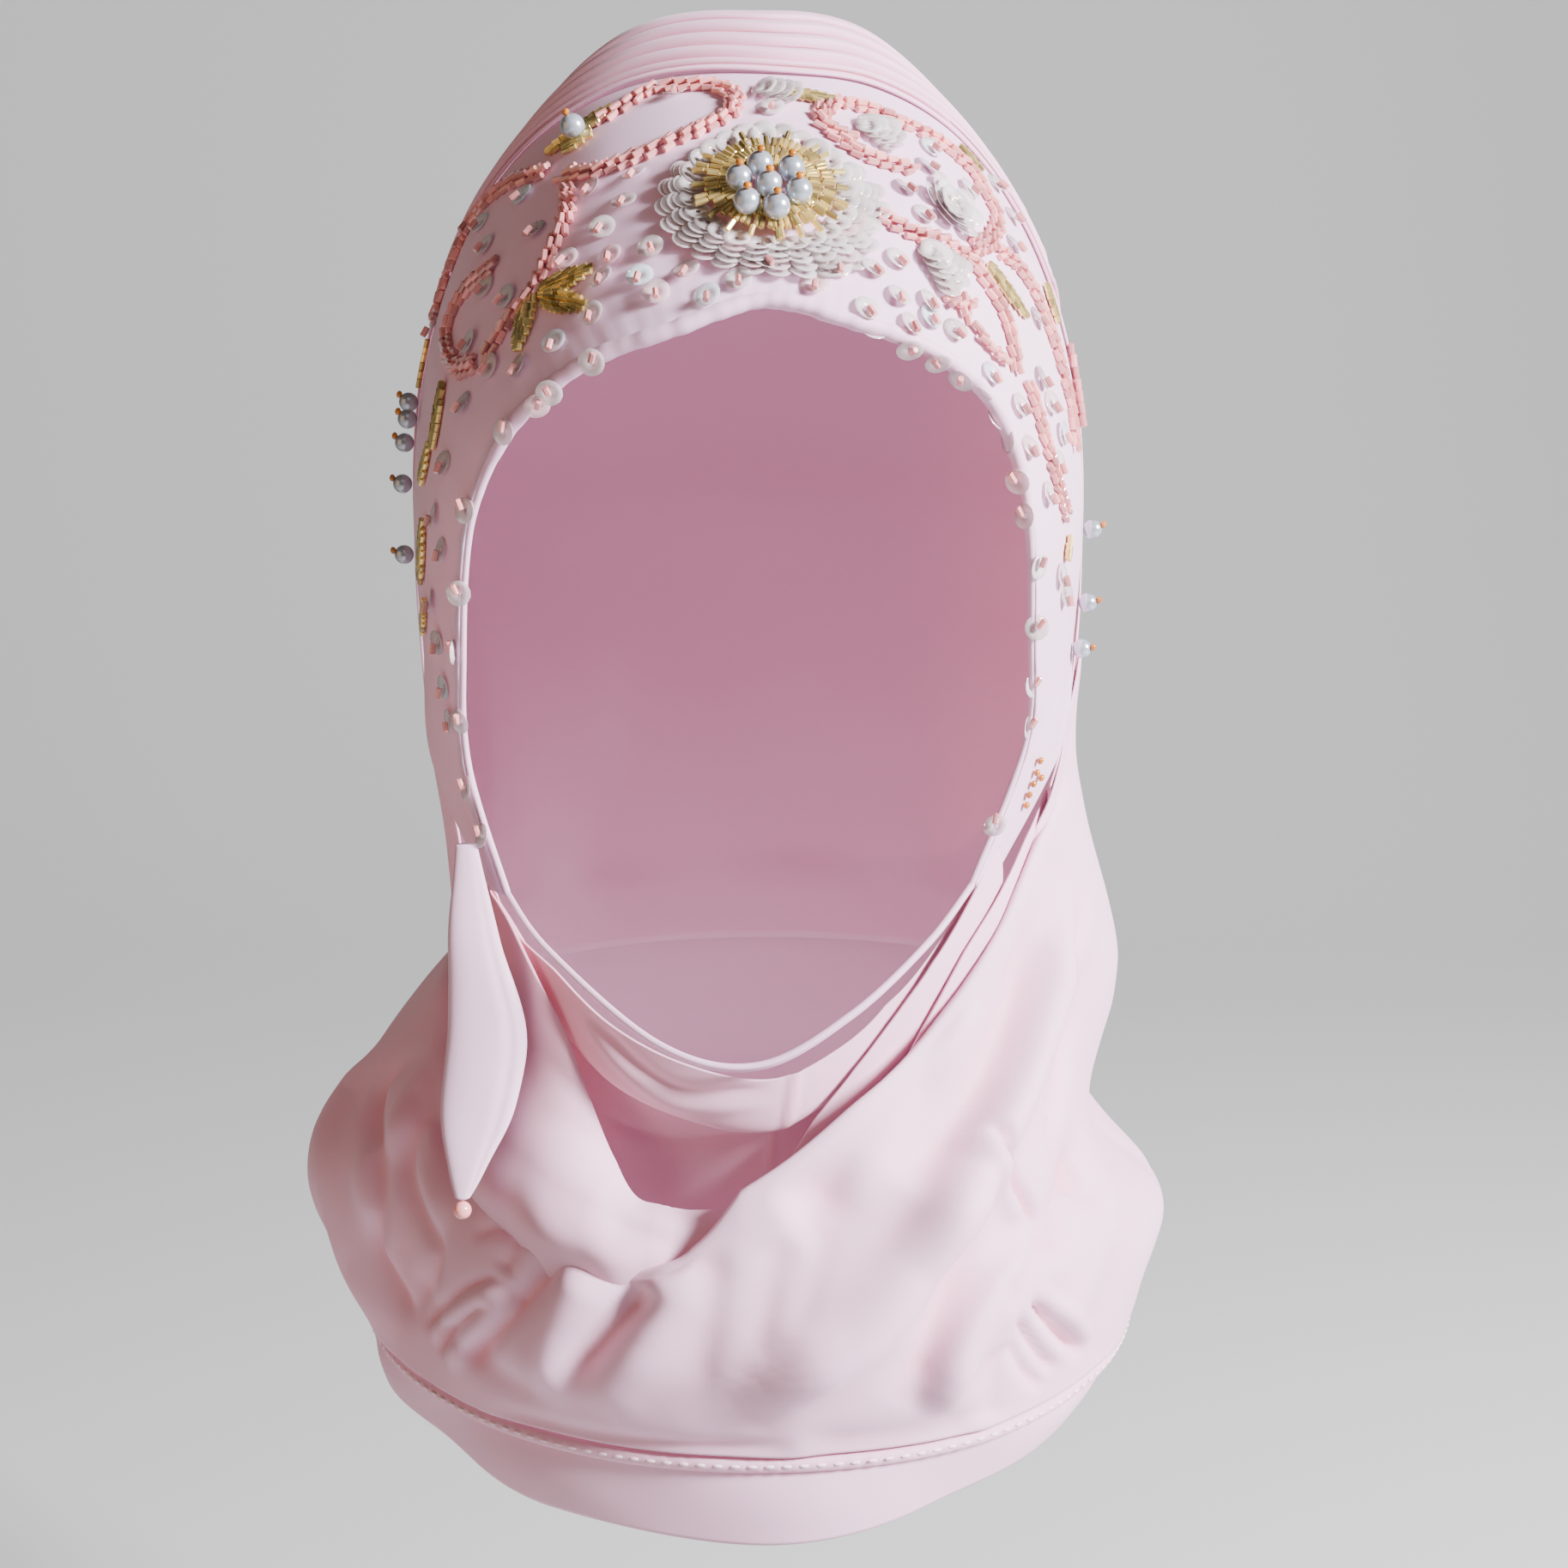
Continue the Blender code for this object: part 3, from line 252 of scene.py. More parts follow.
# Finer folds of the cape: half width in mm, lift in mm, line in points of the front picture
FINE_FOLDS = [
    (7.0, -4.6, [(1113, 1080), (1090, 1230), (1010, 1350), (910, 1424)]),
    (5.5, 3.4, [(1159, 1020), (1136, 1119), (1076, 1252), (977, 1405)]),
    (6.0, -4.2, [(1205, 1035), (1175, 1190), (1120, 1300), (1050, 1390)]),
    (5.0, 5.4, [(1249, 1013), (1229, 1133), (1196, 1245), (1156, 1332), (1109, 1411), (1063, 1484)]),
    (6.5, 5.4, [(1140, 1360), (1109, 1411), (1063, 1484), (1010, 1551), (950, 1597), (871, 1653)]),
    (4.0, -4.0, [(1266, 1030), (1248, 1150), (1232, 1270), (1216, 1330)]),
    (1.9, -3.4, [(1150, 1310), (1159, 1328), (1179, 1371), (1202, 1411), (1217, 1434)]),
    (2.6, 2.2, [(1146, 1340), (1166, 1385), (1188, 1425)]),
    (3.0, -1.8, [(1217, 1434), (1195, 1480), (1165, 1525)]),
    (5.0, 4.0, [(1209, 1438), (1156, 1504), (1117, 1570), (1105, 1650)]),
    (5.0, -2.6, [(1136, 1398), (1116, 1464), (1096, 1531), (1076, 1590), (1046, 1640)]),
    (5.0, -1.6, [(1165, 1560), (1160, 1610), (1150, 1660)]),
    (5.0, -3.6, [(1262, 1320), (1235, 1400), (1222, 1470)]),
    (8.0, 2.2, [(1296, 1350), (1280, 1430), (1255, 1500), (1230, 1560)]),
    (1.8, -2.4, [(1196, 1511), (1229, 1551), (1262, 1577)]),
    (1.8, -2.2, [(1182, 1531), (1205, 1570), (1229, 1597)]),
    (1.8, -2.0, [(1178, 1557), (1192, 1595), (1218, 1617)]),
    (2.0, 1.8, [(1202, 1500), (1238, 1530), (1271, 1562)]),
    (1.8, 0.9, [(1188, 1520), (1218, 1560), (1245, 1588)]),
    (8.0, 2.2, [(499, 1199), (413, 1259), (380, 1318), (380, 1371), (410, 1472), (444, 1522),
                (471, 1534)]),
    (3.8, -3.2, [(519, 1222), (459, 1252), (436, 1300), (446, 1373), (442, 1446), (459, 1495),
                 (479, 1522), (500, 1508)]),
    (5.0, 1.8, [(530, 1250), (480, 1276), (462, 1325), (456, 1400), (456, 1450), (474, 1486)]),
    (3.2, -2.0, [(516, 1290), (486, 1318), (478, 1365), (496, 1420), (512, 1452), (506, 1490),
                 (484, 1520)]),
    (5.0, 2.2, [(535, 1300), (506, 1340), (508, 1385), (530, 1431)]),
    (2.0, -1.6, [(551, 1442), (578, 1432), (605, 1436), (640, 1444)]),
    (2.4, -1.6, [(605, 1442), (598, 1462), (586, 1484)]),
    (1.3, -1.8, [(584, 1486), (548, 1499), (517, 1524), (494, 1549)]),
    (2.0, 2.0, [(592, 1498), (540, 1526), (502, 1562)]),
    (1.3, -1.8, [(572, 1514), (532, 1545), (511, 1578)]),
    (2.4, 2.8, [(600, 1512), (562, 1546), (521, 1590)]),
    (3.2, -4.0, [(660, 1456), (620, 1503), (574, 1549), (545, 1590)]),
    (6.0, 3.0, [(690, 1476), (664, 1520), (640, 1570), (622, 1622)]),
    (4.0, -5.0, [(764, 1492), (727, 1534), (697, 1568), (650, 1620)]),
    (8.0, 2.2, [(812, 1462), (770, 1530), (724, 1600), (690, 1648)]),
    (4.0, -0.5, [(838, 1450), (828, 1531), (812, 1620)]),
    (4.0, 0.4, [(861, 1440), (854, 1531), (838, 1630)]),
    (3.0, -0.5, [(908, 1440), (898, 1504), (880, 1590)]),
    (3.0, -0.4, [(962, 1428), (952, 1485), (928, 1560)]),
    (2.6, -1.6, [(572, 1640), (672, 1668), (804, 1684), (930, 1684)]),
    (4.0, -1.2, [(930, 1684), (1050, 1672), (1150, 1650)]),
]

# Creases of the neck panel, in the same columns
NECK_FOLDS = [
    (1.6, -1.0, [(680, 1168), (745, 1240), (810, 1272), (905, 1262)]),
    (1.6, 0.8, [(672, 1180), (740, 1256), (806, 1290), (900, 1282)]),
    (1.2, -0.7, [(700, 1300), (780, 1325), (880, 1318)]),
]

# Hem: degrees from the front, seam radius, flounce foot radius, flounce foot height
HEM_ROWS = [
    (0, 102.5, 104, -345),
    (30, 104, 101, -341),
    (55, 101, 96, -337),
    (90, 99, 97, -339),
    (135, 102, 101, -341),
    (180, 103, 102, -342),
    (225, 103, 101, -342),
    (270, 100, 98, -341),
    (305, 99, 95, -341),
    (335, 101, 100, -343),
]
SEAM_HEIGHT = -326.6
FLOUNCE_TOP = -328.6
CAPE_FOOT = -324.2
CAPE_OVER_SEAM = 1.3

# Side tie: height, left edge x, right edge x, y, thickness
TIE_ROWS = [
    (-196.0, -68.6, -63.4, -45.5, 2.4),
    (-216.0, -69.0, -57.0, -57.5, 4.0),
    (-236.0, -68.5, -50.5, -64.5, 5.0),
    (-252.0, -69.5, -52.5, -72.0, 4.6),
    (-264.0, -67.0, -58.5, -79.5, 3.4),
    (-270.0, -64.8, -62.2, -83.0, 2.0),
]
TIE_BEAD_RADIUS = 2.1

# Pink bugle bead vines, as points of the front picture
VINES = {
    "vine_left_top": [(700, 140), (720, 130), (760, 106), (800, 101), (838, 103), (855, 116),
                      (847, 137), (812, 154), (750, 181), (700, 199), (657, 205)],
    "vine_left_outer": [(640, 200), (599, 213), (571, 234), (549, 262), (533, 288), (520, 314),
                        (511, 345), (507, 378)],
    "vine_left_inner": [(662, 218), (661, 255), (648, 284), (637, 310), (622, 340), (600, 366),
                        (583, 392), (566, 416)],
    "vine_left_hook": [(556, 425), (534, 428), (522, 401), (527, 373), (539, 347), (556, 328),
                       (580, 309)],
    "vine_right_top": [(1000, 168), (968, 152), (955, 138), (972, 122), (1007, 127), (1047, 144),
                       (1088, 163), (1112, 182), (1135, 206), (1149, 231), (1160, 255), (1152, 280),
                       (1130, 290)],
    "vine_right_inner": [(975, 160), (1002, 180), (1029, 190), (1063, 199)],
    "vine_right_low": [(1024, 250), (1050, 266), (1074, 276), (1101, 286), (1128, 302), (1148, 330),
                       (1165, 360), (1176, 390), (1182, 432)],
    "vine_right_side": [(1160, 292), (1180, 306), (1197, 330), (1212, 362), (1224, 395), (1234, 430),
                        (1244, 470), (1250, 520)],
    "vine_right_down": [(1195, 442), (1207, 480), (1217, 518), (1228, 556), (1240, 598)],
}

# Short pink sprigs with no vine of their own in the frame, as points of the front picture
SPRIGS = [
    [(1120, 346), (1119, 368)],
    [(1104, 356), (1134, 360)],
    [(1133, 383), (1149, 407), (1171, 426)],
    [(1252, 400), (1256, 440), (1258, 500)],
]

# Gold bead leaves, as points of the front picture: foot x, foot y, tip x, tip y, half width in mm
LEAVES = {
    "leaf_left_high": (633, 341, 692, 315, 2.6),
    "leaf_left_low": (636, 350, 684, 358, 2.6),
    "leaf_left_down": (621, 348, 605, 410, 2.6),
    "leaf_pearl_left": (672, 158, 640, 180, 2.2),
    "leaf_pearl_right": (680, 152, 714, 129, 2.6),
    "leaf_pearl_low": (660, 176, 690, 158, 2.2),
    "leaf_temple_left": (507, 522, 519, 446, 2.2),
    "leaf_temple_low": (493, 676, 496, 606, 2.0),
    "leaf_top": (916, 111, 970, 119, 1.8),
    "leaf_right_top": (1116, 174, 1140, 200, 1.5),
    "leaf_right": (1150, 312, 1193, 370, 2.0),
    "leaf_right_side": (1216, 334, 1229, 376, 2.2),
}

# Gold sprigs with no leaf of their own in the frame: the same columns
SMALL_LEAVES = [
    (494, 560, 503, 520, 2.0),
    (488, 450, 492, 395, 1.8),
    (496, 736, 498, 700, 1.4),
    (1240, 652, 1243, 626, 1.4),
]

# Clusters of sequins, as points of the front picture
# Columns: centre x, centre y, strings, sequins on a string, first and last direction in degrees
CLUSTERS = {
    "cluster_top": (880, 108, 3, 4, -28, 6),
    "cluster_right_top": (1000, 150, 3, 4, -50, 5),
    "cluster_right": (1106, 244, 6, 3, 20, 340),
    "cluster_right_low": (1072, 292, 3, 5, -75, -25),
}

# Flower at the centre of the forehead
FLOWER_PIXEL = (897.0, 222.0)
RAY_COUNT = 60
RAY_INNER = 6.6
RAY_OUTER = 16.6
RAY_PITCH = 3.05
PETAL_STRINGS = 26
PETAL_INNER = 15.8
PETAL_SEQUINS = 5
FLOWER_OUTLINE = [
    (0, 27.0),
    (40, 19.8),
    (90, 21.0),
    (140, 19.8),
    (180, 25.0),
    (225, 26.0),
    (270, 26.0),
    (315, 28.5),
    (338, 25.5),
]
UPPER_PEARL = (667, 147)
FLOWER_PEARL_COUNT = 7
TEMPLE_PEARL_COUNT = 8
PEARL_RADIUS = 2.95
UPPER_PEARL_RADIUS = 2.9
TEMPLE_PEARL_RADIUS = 2.4

# Single sequins, each held by a pink bugle bead, as points of the front picture
SEQUIN_PIXELS = [
    (787, 110), (899, 128), (689, 222), (740, 205), (729, 236), (704, 267), (625, 269), (712, 300),
    (759, 290), (702, 325), (747, 323), (766, 342), (662, 303), (801, 316), (824, 346), (861, 327),
    (892, 305), (948, 332), (975, 313), (1016, 314), (1044, 303), (1008, 361), (1046, 346),
    (1081, 352), (1060, 379), (1110, 385), (1083, 371), (1054, 220), (1083, 174), (1079, 195),
    (1075, 251), (1127, 222), (1158, 215), (1180, 286), (1178, 253), (1207, 371), (611, 229),
    (540, 258), (562, 261), (568, 287), (568, 335), (592, 347), (549, 399), (573, 427), (606, 427),
    (648, 399), (691, 367), (542, 470), (506, 383), (1153, 436), (1186, 473), (1197, 521),
    (1211, 441), (1222, 470), (1235, 505), (1229, 540), (1219, 575), (1234, 670), (1239, 692),
    (508, 600), (520, 540), (517, 640), (505, 700), (513, 748), (520, 800), (526, 839),
]

# Sequins that hang over the rim, as points of the front picture
RIM_PIXELS = [
    (690, 421), (640, 455), (626, 470), (589, 503), (538, 595), (1014, 392), (1060, 404),
    (1094, 420), (1119, 442), (1140, 462), (1153, 490), (1168, 516), (1188, 560), (1196, 600),
    (1208, 660), (1206, 730), (1196, 795), (1186, 842), (1160, 963),
    (536, 690), (532, 760), (538, 839), (545, 918), (556, 975),
]

# Gold seed beads near the right jaw, as points of the front picture
SEED_PIXELS = [(1208, 885), (1204, 899), (1200, 912), (1195, 925), (1192, 937), (1209, 905)]

SEQUIN_RADIUS = 3.0
BUGLE_RADIUS = 0.78
BUGLE_LENGTH = 3.0
SEED_RADIUS = 0.95

# Bugle beads side by side in a vine: metres aside, metres over the cloth, lean in radians
VINE_LANES = [
    (-0.0016, 0.0007, 0.34),
    (0.0, 0.0014, 0.34),
    (0.0016, 0.0007, 0.34),
]

# In metres: from one bead to the next along a vine, a sprig and a leaf, and height over the cloth
VINE_STEP = 0.0028
SPRIG_STEP = 0.0026
LEAF_STEP = 0.0019
SEWN_LIFT = 0.0009

# Finely divided lines have this many steps from one table point to the next
LINE_STEPS = 14

# Where a line of sight is searched for the nearest cloth when it meets none, in metres from the eye
SIGHT_START = 0.44
SIGHT_STEP = 0.003
SIGHT_STEPS = 60

# Rolled hem: stitches and dips round its girth, and colour of the thread
STITCH_COUNT = 170
HEM_DIPS = 150.0
STITCH_COLOUR = (0.93, 0.70, 0.76)

# Starts of the random draws
FLOWER_DRAW = 11
VINE_DRAW = 23
LEAF_DRAW = 31
SEQUIN_DRAW = 47

# Studio, in metres: the floor rises in a quarter round to the backdrop
SENSOR_WIDTH = 36.0
FLOOR_LEVEL = -0.62
SWEEP_SIZE = 9.0
SWEEP_FRONT = -3.8
SWEEP_FLAT = 5.2
SWEEP_BEND = 1.4
SWEEP_RADIUS = 0.9
BACKDROP_GLOW = 0.70
FLOOR_GLOW = 0.08
LAMP_AIM = (0.0, -0.03, -0.17)

# Lamps: name, place, size, colour
LAMPS = [
    ("key", (1.04, -0.55, 0.40), 0.34, (0.94, 0.95, 1.0)),
    ("fill", (-0.9, -0.6, 0.0), 0.9, (1.0, 0.66, 0.34)),
    ("front", (0.2, -1.1, 0.75), 0.8, (0.98, 0.97, 1.0)),
]


class HijabCloth(bpy.types.PropertyGroup):
    """Sizes and colours of the cloth"""
    thickness: bpy.props.FloatProperty(
        name="Thickness", description="Thickness of one layer of cloth", default=0.0006,
        min=0.0001, max=0.003, unit="LENGTH")
    light: bpy.props.FloatVectorProperty(
        name="Pale pink", description="Colour of the cloth where it is stretched or lit",
        default=(0.86, 0.50, 0.65), size=3, min=0.0, max=1.0, subtype="COLOR")
    # Painted shade: the cloth's colour is mixed towards this one in its hollows, past the pleats' lips and
    # below the chin
    deep: bpy.props.FloatVectorProperty(
        name="Rose", description="Colour of the cloth where its layers lie deep in a fold",
        default=(0.78, 0.28, 0.34), size=3, min=0.0, max=1.0, subtype="COLOR")
    band: bpy.props.FloatVectorProperty(
        name="Band", description="Colour of the cloth over the forehead",
        default=(0.80, 0.51, 0.67), size=3, min=0.0, max=1.0, subtype="COLOR")
    thread: bpy.props.FloatProperty(
        name="Thread", description="Distance from one thread to the next", default=0.0007,
        min=0.0001, max=0.005, unit="LENGTH")


class HijabBeads(bpy.types.PropertyGroup):
    """Colours of the beads and sequins"""
    pink: bpy.props.FloatVectorProperty(
        name="Pink bugle", description="Colour of the pink bugle beads",
        default=(0.93, 0.36, 0.35), size=3, min=0.0, max=1.0, subtype="COLOR")
    gold: bpy.props.FloatVectorProperty(
        name="Gold bugle", description="Colour of the gold bugle beads",
        default=(0.74, 0.54, 0.20), size=3, min=0.0, max=1.0, subtype="COLOR")
    pearl: bpy.props.FloatVectorProperty(
        name="Pearl", description="Colour of the pearls",
        default=(0.44, 0.47, 0.53), size=3, min=0.0, max=1.0, subtype="COLOR")
    amber: bpy.props.FloatVectorProperty(
        name="Seed bead", description="Colour of the small amber beads",
        default=(0.62, 0.20, 0.01), size=3, min=0.0, max=1.0, subtype="COLOR")
    sequin: bpy.props.FloatVectorProperty(
        name="Sequin", description="Colour of the sequins",
        default=(0.74, 0.63, 0.64), size=3, min=0.0, max=1.0, subtype="COLOR")


class HijabStage(bpy.types.PropertyGroup):
    """Light and floor of the studio"""
    floor: bpy.props.FloatVectorProperty(
        name="Floor", description="Colour of the floor and the backdrop",
        default=(0.50, 0.50, 0.50), size=3, min=0.0, max=1.0, subtype="COLOR")
    key: bpy.props.FloatProperty(
        name="Key light", description="Power of the window light at the viewer's right",
        default=96.0, min=0.0, max=500.0, unit="POWER")
    fill: bpy.props.FloatProperty(
        name="Fill light", description="Power of the soft light at the viewer's left",
        default=2.6, min=0.0, max=500.0, unit="POWER")
    front: bpy.props.FloatProperty(
        name="Front light", description="Power of the soft light over the viewer's head",
        default=1.1, min=0.0, max=500.0, unit="POWER")
    sky: bpy.props.FloatProperty(
        name="Surroundings", description="Strength of the even light from all sides",
        default=0.06, min=0.0, max=5.0)


def to_metres(point):
    """Position in metres from the seat."""
    return (point - SEAT) * MM


def to_table(point):
    """Position in the tables' millimetres of a point in metres."""
    return point / MM + SEAT


def blend(a, b, share):
    """Value between a and b."""
    return a + (b - a) * share


def ease(share):
    """Smooth step from 0 to 1."""
    share = min(1.0, max(0.0, share))
    return share * share * (3.0 - 2.0 * share)


def curve_row(rows, place, closed=False):
    """Row at a fractional place in a table, on a smooth curve through its rows."""
    count = len(rows)
    first = math.floor(place)
    if not closed:
        first = min(max(first, 0), count - 2)
    t = place - first
    picks = []
    for step in (-1, 0, 1, 2):
        index = first + step
        index = index % count if closed else min(max(index, 0), count - 1)
        picks.append(rows[index])
    row = []
    for a, b, c, d in zip(*picks):
        row.append(b + 0.5 * t * (c - a + t * (2 * a - 5 * b + 4 * c - d + t * (3 * (b - c) + d - a))))
    return row


def key_place(rows, key):
    """Fractional place in a table whose first column is the key."""
    for i, (low, high) in enumerate(zip(rows, rows[1:])):
        if (low[0] - key) * (high[0] - key) <= 0:
            return i + (key - low[0]) / (high[0] - low[0])
    return 0.0 if abs(rows[0][0] - key) < abs(rows[-1][0] - key) else len(rows) - 1.0


def fine_line(points):
    """Finely divided smooth line through the points of the front picture."""
    steps = LINE_STEPS * (len(points) - 1)
    return [curve_row(points, (len(points) - 1) * i / steps) for i in range(steps + 1)]


def ring_row(rows, angle):
    """Columns after the first of a table that goes all round, read at an angle in degrees."""
    place = angle % 360.0
    ring = rows + [(360.0, *rows[0][1:])]
    for i, (low, high) in enumerate(zip(ring, ring[1:])):
        if low[0] <= place <= high[0]:
            share = (place - low[0]) / (high[0] - low[0])
            return curve_row([row[1:] for row in rows], i + share, closed=True)
    return rows[0][1:]


def head_radius(direction):
    """Distance from the head's centre to its surface along a unit direction."""
    depth = HALF_FRONT if direction[1] < 0 else HALF_BACK
    flat = (direction[0] / HALF_WIDTH) ** 2 + (direction[1] / depth) ** 2
    if direction[2] < 0:
        return 1.0 / math.sqrt(flat + (direction[2] / HALF_DOWN) ** 2)
    angle = math.degrees(math.atan2(abs(direction[0]), -direction[1]))
    power = blend(ROUND_FOREHEAD, ROUND_SIDE, ease(angle / FOREHEAD_SPREAD))
    return (flat ** (power / 2) + (direction[2] / HALF_UP) ** power) ** (-1.0 / power)


def polar(angle, tilt):
    """Unit direction: angle from the front towards +X, tilt from straight up."""
    a = math.radians(angle)
    t = math.radians(tilt)
    return Vector((math.sin(t) * math.sin(a), -math.sin(t) * math.cos(a), math.cos(t)))


def drape_point(angle, radius, height):
    """Point round the upright drape axis."""
    a = math.radians(angle)
    return Vector((radius * math.sin(a), DRAPE_Y - radius * math.cos(a), height))


def sight(px, py):
    """Direction from the viewpoint through a point of the front picture."""
    across = (px - PICTURE_SIZE / 2) / PICTURE_FOCAL
    up = (PICTURE_SIZE / 2 - py) / PICTURE_FOCAL
    return Vector((across,
                   math.cos(EYE_TILT) + up * math.sin(EYE_TILT),
                   -math.sin(EYE_TILT) + up * math.cos(EYE_TILT))).normalized()


def fullness(point):
    """How far a point stands out from the head form; only the jaw is fuller than it."""
    offset = point - HEAD_CENTRE
    stretch = offset.length / head_radius(offset.normalized())
    return 1.0 + (stretch - 1.0) * ease((-150.0 - point.z) / 30.0)


def rim_point(place):
    """Point of the face opening's rim at a place along the band's rows."""
    point = Vector(curve_row(BAND_ROWS, place)[:3])
    direction = (point - HEAD_CENTRE).normalized()
    return HEAD_CENTRE + direction * head_radius(direction) * fullness(point)


def band_point(place, share, lift):
    """Point of the band: share 0 at the rim and 1 at the back edge."""
    row = curve_row(BAND_ROWS, place)
    rim = Vector(row[:3])
    back = Vector(row[3:])
    direction = (rim.lerp(back, share) - HEAD_CENTRE).normalized()
    stand = blend(fullness(rim), fullness(back), share)
    return HEAD_CENTRE + direction * (head_radius(direction) * stand + lift)


def heading(point):
    """Degrees from straight ahead, round the upright line through the head's centre."""
    return math.degrees(math.atan2(point.x - HEAD_CENTRE.x, HEAD_CENTRE.y - point.y))


def tilt_of(point):
    """Degrees from straight up, seen from the head's centre."""
    offset = point - HEAD_CENTRE
    return math.degrees(math.acos(offset.z / offset.length))


def face_out(bm):
    """Turn all faces of an open sheet so that they look away from the wearer."""
    bmesh.ops.recalc_face_normals(bm, faces=bm.faces)
    outward = 0.0
    for face in bm.faces:
        middle = to_table(face.calc_center_median())
        inside = Vector((0.0, DRAPE_Y, min(middle.z, HEAD_CENTRE.z)))
        outward += face.normal.dot(middle - inside) * face.calc_area()
    if outward < 0.0:
        bmesh.ops.reverse_faces(bm, faces=bm.faces)


def add_grid(bm, place, along, across, cut, depth=None):
    """Add a sheet to a mesh: a grid operator's vertices moved to place(u, v), with the cut's size as UVs.

    Where depth(u, v) is given, it is kept as shade painted into the cloth's colour. The share is how far
    down the sheet a vertex lies.
    """
    layer = bm.loops.layers.uv.verify()
    deep = bm.verts.layers.float.get("fold_depth") or bm.verts.layers.float.new("fold_depth")
    down = bm.verts.layers.float.get("share") or bm.verts.layers.float.new("share")
    made = bmesh.ops.create_grid(bm, x_segments=along, y_segments=across, size=0.5)["verts"]
    faces = {face for vertex in made for face in vertex.link_faces}
    for face in faces:
        for loop in face.loops:
            u = loop.vert.co.x + 0.5
            v = loop.vert.co.y + 0.5
            loop[layer].uv = (u * cut[0], v * cut[1])
    for vertex in made:
        u = vertex.co.x + 0.5
        v = vertex.co.y + 0.5
        vertex.co = to_metres(place(u, v))
        vertex[deep] = depth(u, v) if depth else 0.0
        vertex[down] = v


def weld(bm):
    """Join the vertices of a mesh that lie in one place."""
    bmesh.ops.remove_doubles(bm, verts=bm.verts, dist=WELD_DISTANCE)


def mesh_data(bm, name, smooth=True):
    """Give a built mesh back as mesh data."""
    mesh = bpy.data.meshes.new(name)
    bm.to_mesh(mesh)
    bm.free()
    if smooth:
        mesh.shade_smooth()
    return mesh


def cloth_mesh(bm, name, depth):
    """Mesh data of a cloth, with depth added to how much of the deep colour it takes: painted shade, and
    an even tint.
    """
    mesh = mesh_data(bm, name)
    layer = mesh.attributes["fold_depth"]
    kept = np.zeros(len(mesh.vertices), dtype=np.float32)
    layer.data.foreach_get("value", kept)
    layer.data.foreach_set("value", np.clip(kept + depth, 0.0, 1.0).astype(np.float32))
    return mesh


def add_piece(name, mesh, material, nodes):
    """Link a finished mesh as a piece that rides on the body and stands for its nodes."""
    piece = bpy.data.objects.new(name, mesh)
    mesh.materials.append(material)
    bpy.context.scene.collection.objects.link(piece)
    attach(piece, BODY)
    if nodes:
        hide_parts(*nodes)
    return piece


def add_cloth(name, mesh, material, nodes):
    """Sheet of cloth with its thickness as a wall."""
    piece = add_piece(name, mesh, material, nodes)
    wall = piece.modifiers.new("cloth", "SOLIDIFY")
    wall.thickness = bpy.context.scene.hijab_cloth.thickness
    wall.offset = 1.0
    return piece


# Its values are used to paint shade into the hollows of the cloth.
def hollow_values(bm, reach):
    """How far each vertex lies below the smoothed surface round it, from 0 to 1."""
    before = {vertex: vertex.co.copy() for vertex in bm.verts}
    bm.normal_update()
    normals = {vertex: vertex.normal.copy() for vertex in bm.verts}
    for _ in range(HOLLOW_TURNS):
        bmesh.ops.smooth_vert(bm, verts=bm.verts, factor=0.5, use_axis_x=True, use_axis_y=True,
                              use_axis_z=True)
    values = []
    for vertex in bm.verts:
        values.append((vertex.co - before[vertex]).dot(normals[vertex]) / reach)
        vertex.co = before[vertex]
    return np.array(values)


def pleat_lift(share):
    """Height of the laid pleats over the crown, which drop sharply towards the band."""
    lift = 0.0
    for lip, height, run in PLEATS:
        if share < lip:
            lift += height * ease(1.0 - (lip - share) / run)
        else:
            lift += height * (1.0 - ease((share - lip) / PLEAT_DROP))
    return lift


def pleat_push(share):
    """How far the lips of the pleats hang forward over the cloth in front of them."""
    push = 0.0
    for lip, _, _ in PLEATS:
        if share < lip:
            push += PLEAT_HANG * ease(1.0 - (lip - share) / PLEAT_HANG_RUN)
        else:
            push += PLEAT_HANG * (1.0 - ease((share - lip) / PLEAT_DROP))
    return push


def crown_point(angle, tilt, share, fade):
    """Point of the crown: share 0 at the pole and 1 at the ring where the crown ends."""
    direction = polar(angle, tilt * (share + pleat_push(share) * fade))
    off_full = (tilt * share - CROWN_FULL_TILT) / CROWN_FULL_SPREAD
    lift = VEIL_EASE + pleat_lift(share) * fade + CROWN_FULL_LIFT * math.exp(-off_full * off_full)
    lift += SOURCE_CLOTH * ease((share - 0.9) / 0.08) * fade
    return HEAD_CENTRE + direction * (head_radius(direction) + lift)


def crown_columns(front_steps, back_steps):
    """Angle, tilt and pleat share of each column: round the back first, then along the band."""
    front = []
    for i in range(front_steps + 1):
        edge = band_point(blend(BAND_CROWN_FIRST, BAND_CROWN_LAST, i / front_steps), 1.0, 0.0)
        front.append((heading(edge), tilt_of(edge) * 1.012, 1.0))
    columns = []
    for i in range(back_steps + 1):
        way = i / back_steps
        angle = blend(front[-1][0], front[0][0] + 360.0, way)
        side_tilt = blend(front[-1][1], front[0][1], way)
        near = min(way, 1.0 - way)
        columns.append((angle if angle <= 180.0 else angle - 360.0,
                        blend(side_tilt, VEIL_BACK_TILT, ease(near * 4.0)), 1.0 - ease(near / 0.2)))
    return columns + front[1:-1]


